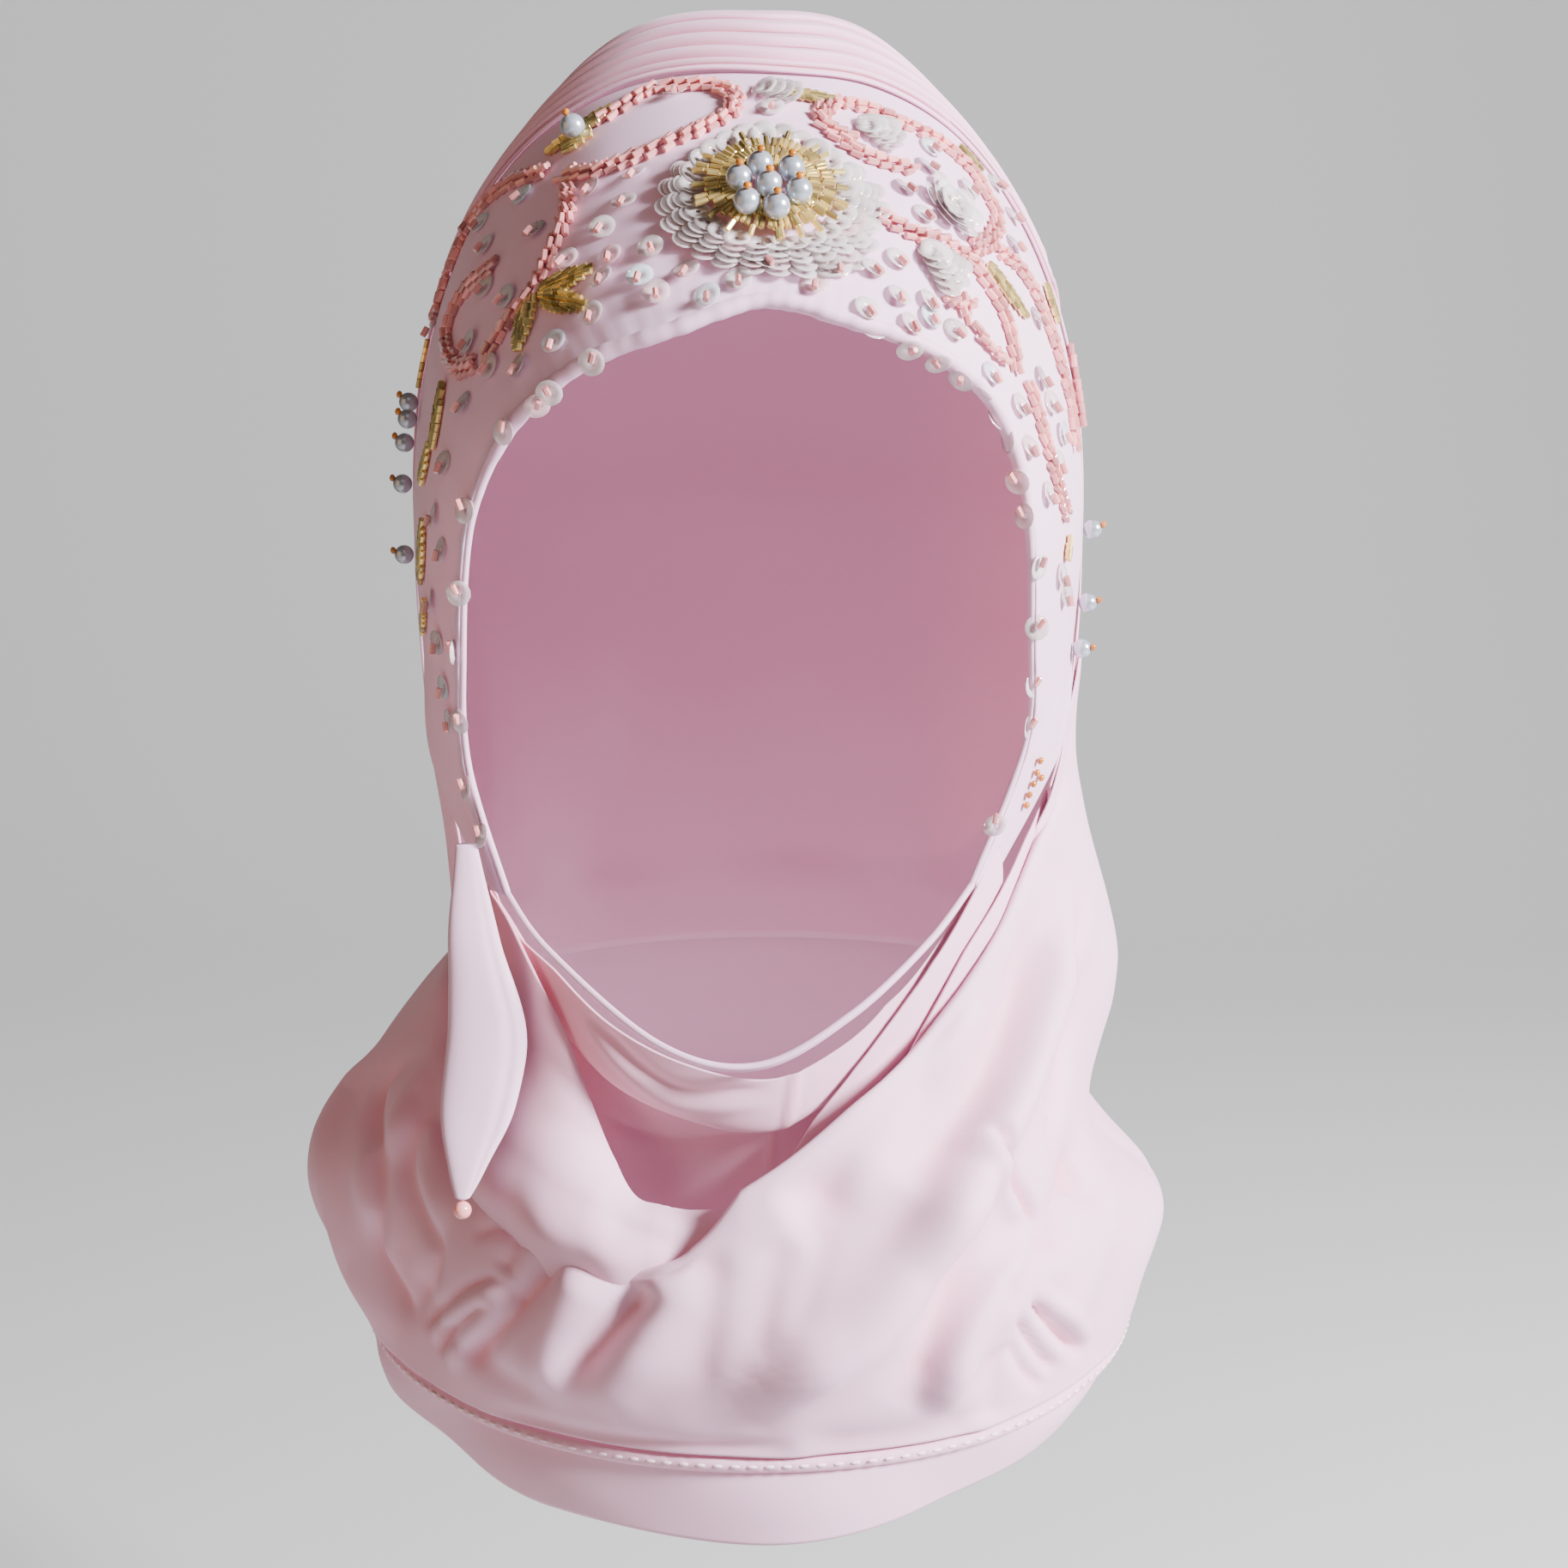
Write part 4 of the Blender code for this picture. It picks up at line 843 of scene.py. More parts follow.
def curtain_point(angle, height):
    """Point of the veil at the sides and back of the head."""
    a = math.radians(angle)
    rows = VEIL_SECTIONS
    left, right, front, back = curve_row(rows, key_place(rows, min(height, HEAD_CENTRE.z)))[1:]
    side = right if math.sin(a) > 0 else left
    depth = front if math.cos(a) > 0 else back
    radius = 1.0 / math.hypot(math.sin(a) / side, math.cos(a) / depth)
    if height > HEAD_CENTRE.z:
        radius *= math.sqrt(1.0 - ((height - HEAD_CENTRE.z) / HALF_UP) ** 2)
    gather = ease((-140.0 - height) / 90.0)
    behind = ease((abs((angle + 180.0) % 360.0 - 180.0) - 85.0) / 30.0)
    folds = 0.5 + 0.5 * math.sin(a * 11.0 + 1.3 * math.sin(a * 3.0))
    radius += VEIL_EASE + (0.3 + 1.5 * behind) * folds * gather * (1.0 - ease((-228.0 - height) / 14.0))
    return HEAD_CENTRE + Vector((radius * math.sin(a), -radius * math.cos(a),
                                 height - HEAD_CENTRE.z))


def curtain_edge(crown_place, jaw_place, hem_angle, share):
    """Angle and height of the veil's front edge: down the band's back edge, then back to the hem."""
    jaw = band_point(jaw_place, 1.0, 0.0)
    side = math.copysign(1.0, hem_angle)
    if share < VEIL_JAW_SHARE:
        edge = band_point(blend(crown_place, jaw_place, share / VEIL_JAW_SHARE), 1.0, 0.0)
        return heading(edge) + side * VEIL_EDGE_BACK * share / VEIL_JAW_SHARE, edge.z
    rest = (share - VEIL_JAW_SHARE) / (1.0 - VEIL_JAW_SHARE)
    angle = blend(heading(jaw) + side * VEIL_EDGE_BACK, hem_angle, ease(rest))
    return angle, blend(jaw.z, VEIL_HEM_SIDE, rest)


def veil_mesh():
    """Pleated crown and the curtain at the sides and back, welded into one sheet."""
    front_steps = 84
    back_steps = 132
    columns = crown_columns(front_steps, back_steps)
    columns.append(columns[0])
    steps = front_steps + back_steps

    def crown(u, v):
        angle, tilt, fade = columns[round(u * steps)]
        return crown_point(angle, tilt, v, fade)

    levels = 64
    edges = []
    for level in range(levels + 1):
        share = level / levels
        edges.append((curtain_edge(BAND_CROWN_LAST, BAND_JAW_LAST, VEIL_HEM_ANGLE_RIGHT, share),
                      curtain_edge(BAND_CROWN_FIRST, BAND_JAW_FIRST, VEIL_HEM_ANGLE_LEFT, share)))

    def curtain(u, v):
        column = round(u * back_steps)
        way = column / back_steps
        top = crown_point(*columns[column][:2], 1.0, columns[column][2])
        if v <= 0.0:
            return top
        (first, first_height), (last, last_height) = edges[round(v * levels)]
        angle = blend(first, last + 360.0, way)
        hem = blend(VEIL_HEM_SIDE, VEIL_HEM_BACK, math.sin(math.pi * way))
        plain = blend(top.z, hem, v)
        near_edge = 1.0 - ease(min(way, 1.0 - way) * 5.0)
        point = curtain_point(angle, blend(plain, blend(first_height, last_height, way), near_edge))
        extra = (top - HEAD_CENTRE).length - (curtain_point(angle, top.z) - HEAD_CENTRE).length
        out = (point - HEAD_CENTRE).normalized()
        return point + out * max(0.0, extra) * (1.0 - ease(v * 3.0))

    # Painted shadow: a strip of the deep colour just past each pleat's lip, where the lip casts its shadow
    def crown_pleat_shade(u, v):
        fade = columns[round(u * steps)][2]
        shade = 0.0
        for lip, _, _ in PLEATS:
            behind = (v - lip - PLEAT_SHADE_PLACE) / PLEAT_SHADE_WIDTH
            shade += PLEAT_SHADE * math.exp(-behind ** 2)
        return fade * shade

    bm = bmesh.new()
    add_grid(bm, crown, steps, 150, (0.62, 0.16), crown_pleat_shade)
    add_grid(bm, curtain, back_steps, levels, (0.36, 0.2))
    return bm


def band_surface(u, v):
    """Point of the front band, with small puckers where the sequins gather its rim."""
    place = 0.02 + (len(BAND_ROWS) - 1.04) * u
    pucker = math.sin(place * 23.0) * math.sin(place * 9.0 + 1.0)
    soft = noise.noise(Vector((place * 2.2, v * 3.0, 4.0)))
    lift = 0.12 * pucker * (1.0 - v) ** 3 + 0.5 * soft * v * (1.0 - v) * 4.0
    return band_point(place, blend(-0.005, 1.004, v), 0.6 + lift)


def rim_loop():
    """Points all round the face opening, on the middle of its rolled edge."""
    points = []
    last = len(BAND_ROWS) - 1
    steps = 336
    for i in range(steps + 1):
        points.append(rim_point(last * i / steps))
    rows = [tuple(points[-1])] + CHIN_ROWS + [tuple(points[0])]
    chin_steps = 112
    for i in range(1, chin_steps):
        points.append(Vector(curve_row(rows, (len(rows) - 1) * i / chin_steps)))
    return points


def from_head(point):
    """Way from the head's centre to a point."""
    return point - HEAD_CENTRE


def from_drape_axis(point):
    """Level way from the upright drape axis to a point."""
    return point - Vector((0, DRAPE_Y, point.z))


def tube_surface(points, size, outward):
    """Function of (u, v) on a closed tube: u along its points and v round it, size(u, v) as its radius."""
    count = len(points)

    def surface(u, v):
        i = round(u * count)
        here = points[i % count]
        along = (points[(i + 1) % count] - points[i - 1]).normalized()
        out = outward(here)
        out = (out - along * out.dot(along)).normalized()
        side = along.cross(out)
        a = 2.0 * math.pi * v
        return here + (out * math.cos(a) + side * math.sin(a)) * size(u, v)

    return surface


def rim_size(u, v):
    """Radius of the rolled rim: puckered over the forehead, a thin double roll at the jaw."""
    place = u * 448.0
    brow = ease((place - 60.0) / 50.0) * (1.0 - ease((place - 245.0) / 50.0))
    pucker = 0.5 * math.sin(place * 0.52 + 1.4 * math.sin(place * 0.13)) + 0.25 * math.sin(place * 1.3)
    groove = math.cos(2.0 * math.pi * v) ** 8
    return blend(1.05, 1.8 + pucker * 0.22, brow) - 0.4 * groove * (1.0 - brow)


def drape_surface(rows, angle, share):
    """Radius and height of a drape at an angle, share 0 at its top edge and 1 at its lower edge."""
    columns = curve_row([row[1:] for row in rows], key_place(rows, angle))
    guides = list(zip(columns[0::2], columns[1::2]))
    return curve_row(guides, share * (len(guides) - 1))


def drape_grid(rows, start, end, extra=None):
    """Function of (u, v) on an open drape between two angles; extra(angle, share) adds to its radius."""
    def surface(u, v):
        angle = blend(start, end, u)
        radius, height = drape_surface(rows, angle, v)
        if extra is not None:
            radius += extra(angle, v)
        return drape_point(angle, radius, height)
    return surface


def main_fold_lines():
    """Each main fold of the cape, as the source has it: degrees, heights, half width and lift."""
    lines = []
    share = np.linspace(0.0, 1.0, 121)
    start, middle, end = (1 - share) ** 2, 2 * share * (1 - share), share * share
    fade = np.array([ease(t * 6.0) * ease((1.0 - t) * 6.0) for t in share])
    for a0, z0, a1, z1, a2, z2, width, lift in CAPE_FOLDS:
        lines.append((start * a0 + middle * a1 + end * a2, start * z0 + middle * z1 + end * z2,
                      width, lift * fade))
    return lines


def main_fold_lift(lines, angle, height):
    """Lift of the cape's main ridges and troughs at an angle and height."""
    if angle > 180.0:
        angle -= 360.0
    scale = math.radians(1.0) * DRAPE_GIRTH_RADIUS
    total = 0.0
    for angles, heights, width, lift in lines:
        distance = np.hypot((angles - angle) * scale, heights - height)
        nearest = int(distance.argmin())
        total += lift[nearest] * math.exp(-(distance[nearest] / width) ** 2)
    return float(total)


def veil_reach(angle, height):
    """Distance from the drape's axis to the veil's surface at an angle and height."""
    reach = 82.0
    for _ in range(6):
        point = drape_point(angle, reach, height)
        offset = Vector((point.x, point.y - HEAD_CENTRE.y))
        skin = curtain_point(heading(point), height)
        reach += math.hypot(skin.x, skin.y - HEAD_CENTRE.y) - offset.length
    return reach


def cape_edge(angle, radius, height):
    """Guides of the cape above its top edge: rolled in at the front, laid up the veil elsewhere."""
    rise = ring_row(CAPE_RISE, angle)[0]
    hug = ease((angle - 54.0) / 16.0) * (1.0 - ease((angle - 285.0) / 12.0))
    end_height = blend(height - 2.2, height + 2.0 + rise, hug)
    middle_height = blend(height + 1.4, height + 1.0 + rise / 2, hug)
    end = blend(radius - 5.5, veil_reach(angle, end_height) + 1.0, hug)
    middle = blend(radius - 1.8, veil_reach(angle, middle_height) + 1.4, hug)
    return [(end, end_height), (middle, middle_height)]


def cape_surface(columns):
    """Function of (u, v) on the shoulder cape before its fine folds, for a grid of so many columns."""
    guides = []
    for i in range(columns):
        angle = 360.0 * i / columns
        row = ring_row(CAPE_ROWS, angle) + [ring_row(HEM_ROWS, angle)[0] + CAPE_OVER_SEAM, CAPE_FOOT]
        body = list(zip(row[0::2], row[1::2]))
        guides.append(cape_edge(angle, *body[0]) + body)

    lines = main_fold_lines()

    def surface(u, v):
        angle = 360.0 * u
        rows = guides[round(u * columns) % columns]
        place = 2.0 * v / CAPE_EDGE_SHARE
        below = (v - CAPE_EDGE_SHARE) / (1.0 - CAPE_EDGE_SHARE)
        if below > 0.0:
            place = 2.0 + (len(rows) - 3.0) * below
        radius, height = curve_row(rows, place)
        free = ease(below * 6.0) * ease((1.0 - below) * 5.0)
        return drape_point(angle, radius + main_fold_lift(lines, angle, height) * free, height)

    return surface


def trace(tree, pixels):
    """Points in metres where lines of sight through the pixels meet a mesh's outer face."""
    eye = to_metres(EYE)
    found = []
    for px, py in pixels:
        line = sight(px, py)
        hit = tree.ray_cast(eye, line)
        if hit[0] is not None and hit[1].dot(line) < 0.0:
            found.append(hit[0])
    return found


def press_folds(bm, rows, edge=0.0):
    """Push the fine folds into a mesh, along the mesh's own outward direction, and give back their lift.

    They fade out towards the share of the cloth where its rolled edge begins.
    """
    bm.normal_update()
    tree = BVHTree.FromBMesh(bm)
    places = np.array([vertex.co for vertex in bm.verts])
    down = bm.verts.layers.float["share"]
    free = np.array([ease((vertex[down] - edge + 0.02) / 0.12) for vertex in bm.verts])
    lift = np.zeros(len(places))
    for width, height, corners in rows:
        line = trace(tree, fine_line(corners))
        if len(line) < 4:
            continue
        best = np.full(len(places), 1e9)
        where = np.zeros(len(places))
        for i, (start, end) in enumerate(zip(line, line[1:])):
            start = np.array(start)
            along = np.array(end) - start
            share = np.clip((places - start) @ along / max(along @ along, 1e-12), 0.0, 1.0)
            distance = np.linalg.norm(places - start - share[:, None] * along, axis=1)
            nearer = distance < best
            best[nearer] = distance[nearer]
            where[nearer] = (i + share[nearer]) / (len(line) - 1)
        taper = np.clip(where * 4.0, 0.0, 1.0) * np.clip((1.0 - where) * 4.0, 0.0, 1.0)
        taper = taper * taper * (3.0 - 2.0 * taper)
        lift += height * MM * taper * np.exp(-(best / (width * MM)) ** 2)
    lift *= free
    for vertex, amount in zip(bm.verts, lift):
        vertex.co += vertex.normal * amount
    return lift


def ripple(bm, size, height, seed):
    """Soft unevenness of hanging cloth, along the mesh's own outward direction."""
    bm.normal_update()
    for vertex in bm.verts:
        place = to_table(vertex.co) / size + Vector((seed, 0.0, seed * 0.5))
        vertex.co += vertex.normal * noise.noise(place) * height * MM


def make_group(name, inputs, outputs):
    """Empty shader node group with its sockets, and its input and output nodes."""
    group = bpy.data.node_groups.new(name, "ShaderNodeTree")
    for label, kind, value in inputs:
        socket = group.interface.new_socket(label, in_out="INPUT", socket_type=kind)
        if value is not None:
            socket.default_value = value
    for label, kind in outputs:
        group.interface.new_socket(label, in_out="OUTPUT", socket_type=kind)
    return group, group.nodes.new("NodeGroupInput"), group.nodes.new("NodeGroupOutput")


def feed(tree, entry, value):
    """Link a socket to an input of a node, or set the input to a value."""
    if isinstance(value, bpy.types.NodeSocket):
        tree.links.new(value, entry)
    elif value is not None:
        entry.default_value = value


def feed_all(tree, node, entries):
    """Feed the inputs of a node by name, with _ for the spaces in it."""
    for label, value in entries.items():
        feed(tree, node.inputs[label.replace("_", " ")], value)


def add_node(tree, kind, **entries):
    """New shader node of a kind, with its inputs fed."""
    node = tree.nodes.new("ShaderNode" + kind)
    feed_all(tree, node, entries)
    return node


def math_node(tree, operation, first, second=None):
    """Math node fed by sockets or numbers."""
    node = tree.nodes.new("ShaderNodeMath")
    node.operation = operation
    feed(tree, node.inputs[0], first)
    feed(tree, node.inputs[1], second)
    return node.outputs[0]


def mix_node(tree, blending, share, first, second):
    """Colour made of two colours, fed by sockets or values."""
    node = tree.nodes.new("ShaderNodeMix")
    node.data_type = "RGBA"
    node.blend_type = blending
    feed_all(tree, node, {"Factor": share, "A": first, "B": second})
    return node.outputs["Result"]


def attribute_node(tree, name):
    """Number read from one of a piece's own attributes."""
    node = tree.nodes.new("ShaderNodeAttribute")
    node.attribute_name = name
    return node.outputs["Fac"]


def weave_group():
    """Crossing threads of crepe chiffon: their height, and a light and dark mask."""
    group, start, end = make_group(
        "chiffon_weave",
        [("Cloth", "NodeSocketVector", None), ("Threads", "NodeSocketFloat", 1400.0)],
        [("Height", "NodeSocketFloat"), ("Shade", "NodeSocketFloat")])
    cloth = start.outputs["Cloth"]
    split = group.nodes.new("ShaderNodeSeparateXYZ")
    group.links.new(cloth, split.inputs[0])
    turns = math_node(group, "MULTIPLY", start.outputs["Threads"], 2.0 * math.pi)
    warp = math_node(group, "SINE", math_node(group, "MULTIPLY", split.outputs["X"], turns))
    weft = math_node(group, "SINE", math_node(group, "MULTIPLY", split.outputs["Y"], turns))
    crossed = math_node(group, "MULTIPLY", warp, weft)
    slub = add_node(group, "TexNoise", Vector=cloth, Scale=520.0, Detail=4.0, Roughness=0.65)
    patch = add_node(group, "TexNoise", Vector=cloth, Scale=34.0, Detail=3.0)
    height = math_node(group, "ADD", math_node(group, "MULTIPLY", crossed, 0.35), slub.outputs["Fac"])
    shade = math_node(group, "ADD", math_node(group, "MULTIPLY", slub.outputs["Fac"], 0.55),
                      math_node(group, "MULTIPLY", patch.outputs["Fac"], 0.45))
    feed_all(group, end, {"Height": height, "Shade": shade})
    return group


def neck_shade(bm):
    """How deep the cloth below the chin lies in the shade of the tie and of the folds round it."""
    values = []
    for vertex in bm.verts:
        point = to_table(vertex.co)
        angle = math.degrees(math.atan2(point.x, DRAPE_Y - point.y))
        inward = 1.0 - ease((math.hypot(point.x, point.y - DRAPE_Y) - 78.0) / 14.0)
        left = ease((-14.0 - angle) / 26.0)
        high = ease((point.z + 272.0) / 34.0)
        values.append(0.06 + 0.4 * high * left + 0.10 * inward)
    return np.array(values)


def new_material(name):
    """Empty Principled material with its tree and shader."""
    material = bpy.data.materials.new(name)
    material.use_nodes = True
    tree = material.node_tree
    return material, tree, tree.nodes["Principled BSDF"]


def chiffon(name, light, deep):
    """Pale chiffon: woven, a little translucent, and mixed towards the deep colour where shade is painted
    in its folds.
    """
    material, tree, shader = new_material(name)
    cloth = tree.nodes.new("ShaderNodeUVMap")
    cloth.uv_map = "UVMap"
    weave = tree.nodes.new("ShaderNodeGroup")
    weave.node_tree = bpy.data.node_groups.get("chiffon_weave") or weave_group()
    threads = 1.0 / bpy.context.scene.hijab_cloth.thread
    feed_all(tree, weave, {"Cloth": cloth.outputs["UV"], "Threads": threads})
    # Painted shade: the attribute mixes in the deep colour where the cloth is meant to lie in shade
    pink_and_painted_shade = mix_node(tree, "MIX", attribute_node(tree, "fold_depth"), (*light, 1.0), (*deep, 1.0))
    shade = add_node(tree, "MapRange", Value=weave.outputs["Shade"], From_Min=0.3, From_Max=0.7,
                     To_Min=0.82, To_Max=1.08)
    bump = add_node(tree, "Bump", Height=weave.outputs["Height"], Strength=0.9, Distance=0.0006)
    feed_all(tree, shader, {
        "Base Color": mix_node(tree, "MULTIPLY", 1.0, pink_and_painted_shade, shade.outputs["Result"]),
        "Normal": bump.outputs["Normal"],
        "Roughness": 0.68,
        "Sheen Weight": 0.12,
        "Sheen Roughness": 0.45,
        "Subsurface Weight": 0.12,
        "Subsurface Radius": (0.004, 0.0018, 0.0015),
        "Subsurface Scale": 1.0,
    })
    return material


def bead_material(name, colour, spread, **entries):
    """Glass, metal or pearl bead, or thread, whose tone changes from one to the next."""
    material, tree, shader = new_material(name)
    tone = add_node(tree, "MapRange", Value=attribute_node(tree, "bead_tone"), To_Min=1.0 - spread,
                    To_Max=1.0 + spread)
    where = tree.nodes.new("ShaderNodeTexCoord")
    cloud = add_node(tree, "TexNoise", Vector=where.outputs["Object"], Scale=900.0)
    speckle = math_node(tree, "ADD", math_node(tree, "MULTIPLY", cloud.outputs["Fac"], 0.3), 0.85)
    mixed = math_node(tree, "MULTIPLY", tone.outputs["Result"], speckle)
    tint = mix_node(tree, "MULTIPLY", 1.0, (*colour, 1.0), mixed)
    feed_all(tree, shader, {"Base Color": tint, **entries})
    return material


def sequin_material(name, colour):
    """Clear, glossy sequin whose colour turns from cream to pink and pale blue."""
    material, tree, shader = new_material(name)
    ramp = add_node(tree, "ValToRGB", Fac=attribute_node(tree, "bead_tone"))
    # Painted reflection: the pink and pale blue tones stand in for the film's iridescent glints, given to
    # each sequin at random; cream is the sequin's own colour
    stops = ((0.0, (0.60, 0.50, 0.50)), (0.3, colour), (0.6, (0.84, 0.76, 0.78)),
             (0.8, (0.84, 0.56, 0.60)), (1.0, (0.70, 0.88, 0.92)))
    while len(ramp.color_ramp.elements) < len(stops):
        ramp.color_ramp.elements.new(0.5)
    for element, (place, tint) in zip(ramp.color_ramp.elements, stops):
        element.position = place
        element.color = (*tint, 1.0)
    feed_all(tree, shader, {
        "Base Color": ramp.outputs["Color"],
        "Roughness": 0.16,
        "Coat Weight": 0.8,
        "Coat Roughness": 0.06,
        "Thin Film Thickness": 260.0,
        "Alpha": 0.6,
    })
    return material


def material_of(name):
    """One of the shared materials, made the first time that it is asked for."""
    beads = bpy.context.scene.hijab_beads
    cloth = bpy.context.scene.hijab_cloth
    makers = {
        "blush_crepe": lambda: chiffon(name, cloth.light, cloth.deep),
        "forehead_crepe": lambda: chiffon(name, cloth.band, cloth.deep),
        "sequin_film": lambda: sequin_material(name, beads.sequin),
        "pink_bugle_glass": lambda: bead_material(
            name, beads.pink, 0.3, Roughness=0.1, Transmission_Weight=0.2, Coat_Weight=1.0,
            Coat_Roughness=0.03),
        "gold_bugle_glass": lambda: bead_material(name, beads.gold, 0.55, Roughness=0.2, Metallic=0.7),
        "amber_seed_glass": lambda: bead_material(
            name, beads.amber, 0.25, Roughness=0.12, Transmission_Weight=0.3, Coat_Weight=0.6),
        "stitch_thread": lambda: bead_material(
            name, STITCH_COLOUR, 0.08, Roughness=0.6, Sheen_Weight=0.3),
        "silvery_pearl": lambda: bead_material(
            name, beads.pearl, 0.06, Roughness=0.24, Coat_Weight=1.0, Coat_Roughness=0.08,
            Metallic=0.45),
    }
    return bpy.data.materials.get(name) or makers[name]()


def bugle_form():
    """Short glass tube along Z, with softened ends."""
    bm = bmesh.new()
    bmesh.ops.create_cone(bm, cap_ends=True, segments=7, radius1=BUGLE_RADIUS * MM,
                          radius2=BUGLE_RADIUS * MM, depth=BUGLE_LENGTH * MM)
    rims = [edge for edge in bm.edges if abs(edge.verts[0].co.z - edge.verts[1].co.z) < 1e-7]
    bmesh.ops.bevel(bm, geom=rims, offset=0.16 * MM, segments=1, profile=0.5, affect="EDGES",
                    material=-1)
    return form_mesh(bm, "bugle_form", smooth=False)


def seed_form():
    """Round seed bead, a little flat along its hole."""
    bm = bmesh.new()
    bmesh.ops.create_uvsphere(bm, u_segments=10, v_segments=6, radius=SEED_RADIUS * MM)
    bmesh.ops.scale(bm, vec=(1.0, 1.0, 0.75), verts=bm.verts)
    return form_mesh(bm, "seed_form")


def pearl_form():
    """Round pearl of unit radius."""
    bm = bmesh.new()
    bmesh.ops.create_uvsphere(bm, u_segments=28, v_segments=18, radius=1.0)
    return form_mesh(bm, "pearl_form")


def sequin_form():
    """Thin dished disc with a hole, looking along Z."""
    bm = bmesh.new()
    made = bmesh.ops.create_circle(bm, segments=14, radius=SEQUIN_RADIUS * MM)["verts"]
    rim = list({edge for vertex in made for edge in vertex.link_edges})
    inner = bmesh.ops.extrude_edge_only(bm, edges=rim)["geom"]
    verts = [item for item in inner if isinstance(item, bmesh.types.BMVert)]
    bmesh.ops.scale(bm, vec=(0.5, 0.5, 1.0), verts=verts)
    bmesh.ops.translate(bm, vec=(0.0, 0.0, -0.32 * MM), verts=verts)
    ring = [item for item in inner if isinstance(item, bmesh.types.BMEdge)]
    last = bmesh.ops.extrude_edge_only(bm, edges=ring)["geom"]
    hole = [item for item in last if isinstance(item, bmesh.types.BMVert)]
    bmesh.ops.scale(bm, vec=(0.36, 0.36, 1.0), verts=hole)
    bmesh.ops.translate(bm, vec=(0.0, 0.0, -0.06 * MM), verts=hole)
    bmesh.ops.recalc_face_normals(bm, faces=bm.faces)
    bmesh.ops.solidify(bm, geom=bm.faces[:], thickness=0.1 * MM)
    return form_mesh(bm, "sequin_form")


def form_mesh(bm, name, smooth=True):
    """Mesh of a bead form that is placed many times."""
    bmesh.ops.recalc_face_normals(bm, faces=bm.faces)
    return mesh_data(bm, name, smooth)


def place_many(name, form, places, tones, material, nodes, extra=()):
    """One joined piece with a form at each place, and a tone for each bead; extra holds more of them."""
    bm = bmesh.new()
    values = []
    materials = [material]
    for shape, spots, shades, finish in [(form, places, tones, material), *extra]:
        if finish not in materials:
            materials.append(finish)
        index = materials.index(finish)
        for spot, shade in zip(spots, shades):
            copy = shape.copy()
            copy.transform(spot)
            for polygon in copy.polygons:
                polygon.material_index = index
            bm.from_mesh(copy)
            values.extend([shade] * len(copy.vertices))
            bpy.data.meshes.remove(copy)
    mesh = mesh_data(bm, name, smooth=False)
    layer = mesh.attributes.new("bead_tone", "FLOAT", "POINT")
    layer.data.foreach_set("value", np.array(values, dtype=np.float32))
    add_piece(name, mesh, material, nodes)
    for finish in materials[1:]:
        mesh.materials.append(finish)


def outer_tree(piece):
    """Search tree of a piece's outer face, in metres."""
    deps = bpy.context.evaluated_depsgraph_get()
    bm = bmesh.new()
    bm.from_object(piece, deps)
    tree = BVHTree.FromBMesh(bm)
    bm.free()
    return tree


def on_cloth(tree, px, py):
    """Point and outward direction of the cloth at a point of the front picture."""
    eye = to_metres(EYE)
    line = sight(px, py)
    hit = tree.ray_cast(eye, line)
    if hit[0] is None:
        spots = [eye + line * (SIGHT_START + SIGHT_STEP * step) for step in range(SIGHT_STEPS)]
        hit = min((tree.find_nearest(spot) for spot in spots), key=lambda near: near[3])
    point, normal = hit[:2]
    if normal.dot(to_table(point) - HEAD_CENTRE) < 0:
        normal = -normal
    return point, normal


def cloth_frame(normal):
    """Two directions along the cloth: across to the viewer's right, and up."""
    across = Vector((0, 0, 1)).cross(-normal)
    across = across.normalized() if across.length > 1e-6 else Vector((1, 0, 0))
    if across.x < 0:
        across = -across
    return across, normal.cross(across).normalized()


def axes_matrix(point, z_axis, x_hint):
    """Placement whose Z axis is z_axis and whose X axis lies nearest to x_hint."""
    z_axis = z_axis.normalized()
    x_axis = (x_hint - z_axis * x_hint.dot(z_axis))
    if x_axis.length < 1e-6:
        x_axis = z_axis.orthogonal()
    x_axis = x_axis.normalized()
    y_axis = z_axis.cross(x_axis)
    matrix = Matrix((x_axis, y_axis, z_axis)).transposed().to_4x4()
    matrix.translation = point
    return matrix


def scaling(x, y, z):
    """Placement that only scales a form."""
    return Matrix.Diagonal((x, y, z, 1.0))


def bead_spots(tree, pixels, step, lanes, rng):
    """Placements of bugle beads along a line of the picture, in lanes, each bead turned a little."""
    fine = [on_cloth(tree, px, py) for px, py in fine_line(pixels)]
    spots = []
    for aside, above, lean in lanes:
        walked = rng.uniform(0.0, step)
        for (a, normal), (b, _) in zip(fine, fine[1:]):
            walked += (b - a).length
            if walked < step:
                continue
            walked = rng.uniform(-0.15, 0.15) * step
            along = (b - a).normalized()
            side = normal.cross(along).normalized()
            turn = Matrix.Rotation(lean + rng.uniform(-0.16, 0.16), 3, normal)
            tip = Matrix.Rotation(rng.uniform(-0.12, 0.12), 3, side)
            direction = tip @ (turn @ along)
            centre = b + side * (aside + rng.uniform(-0.0003, 0.0003)) + normal * above
            spots.append(axes_matrix(centre, direction, normal))
    return spots


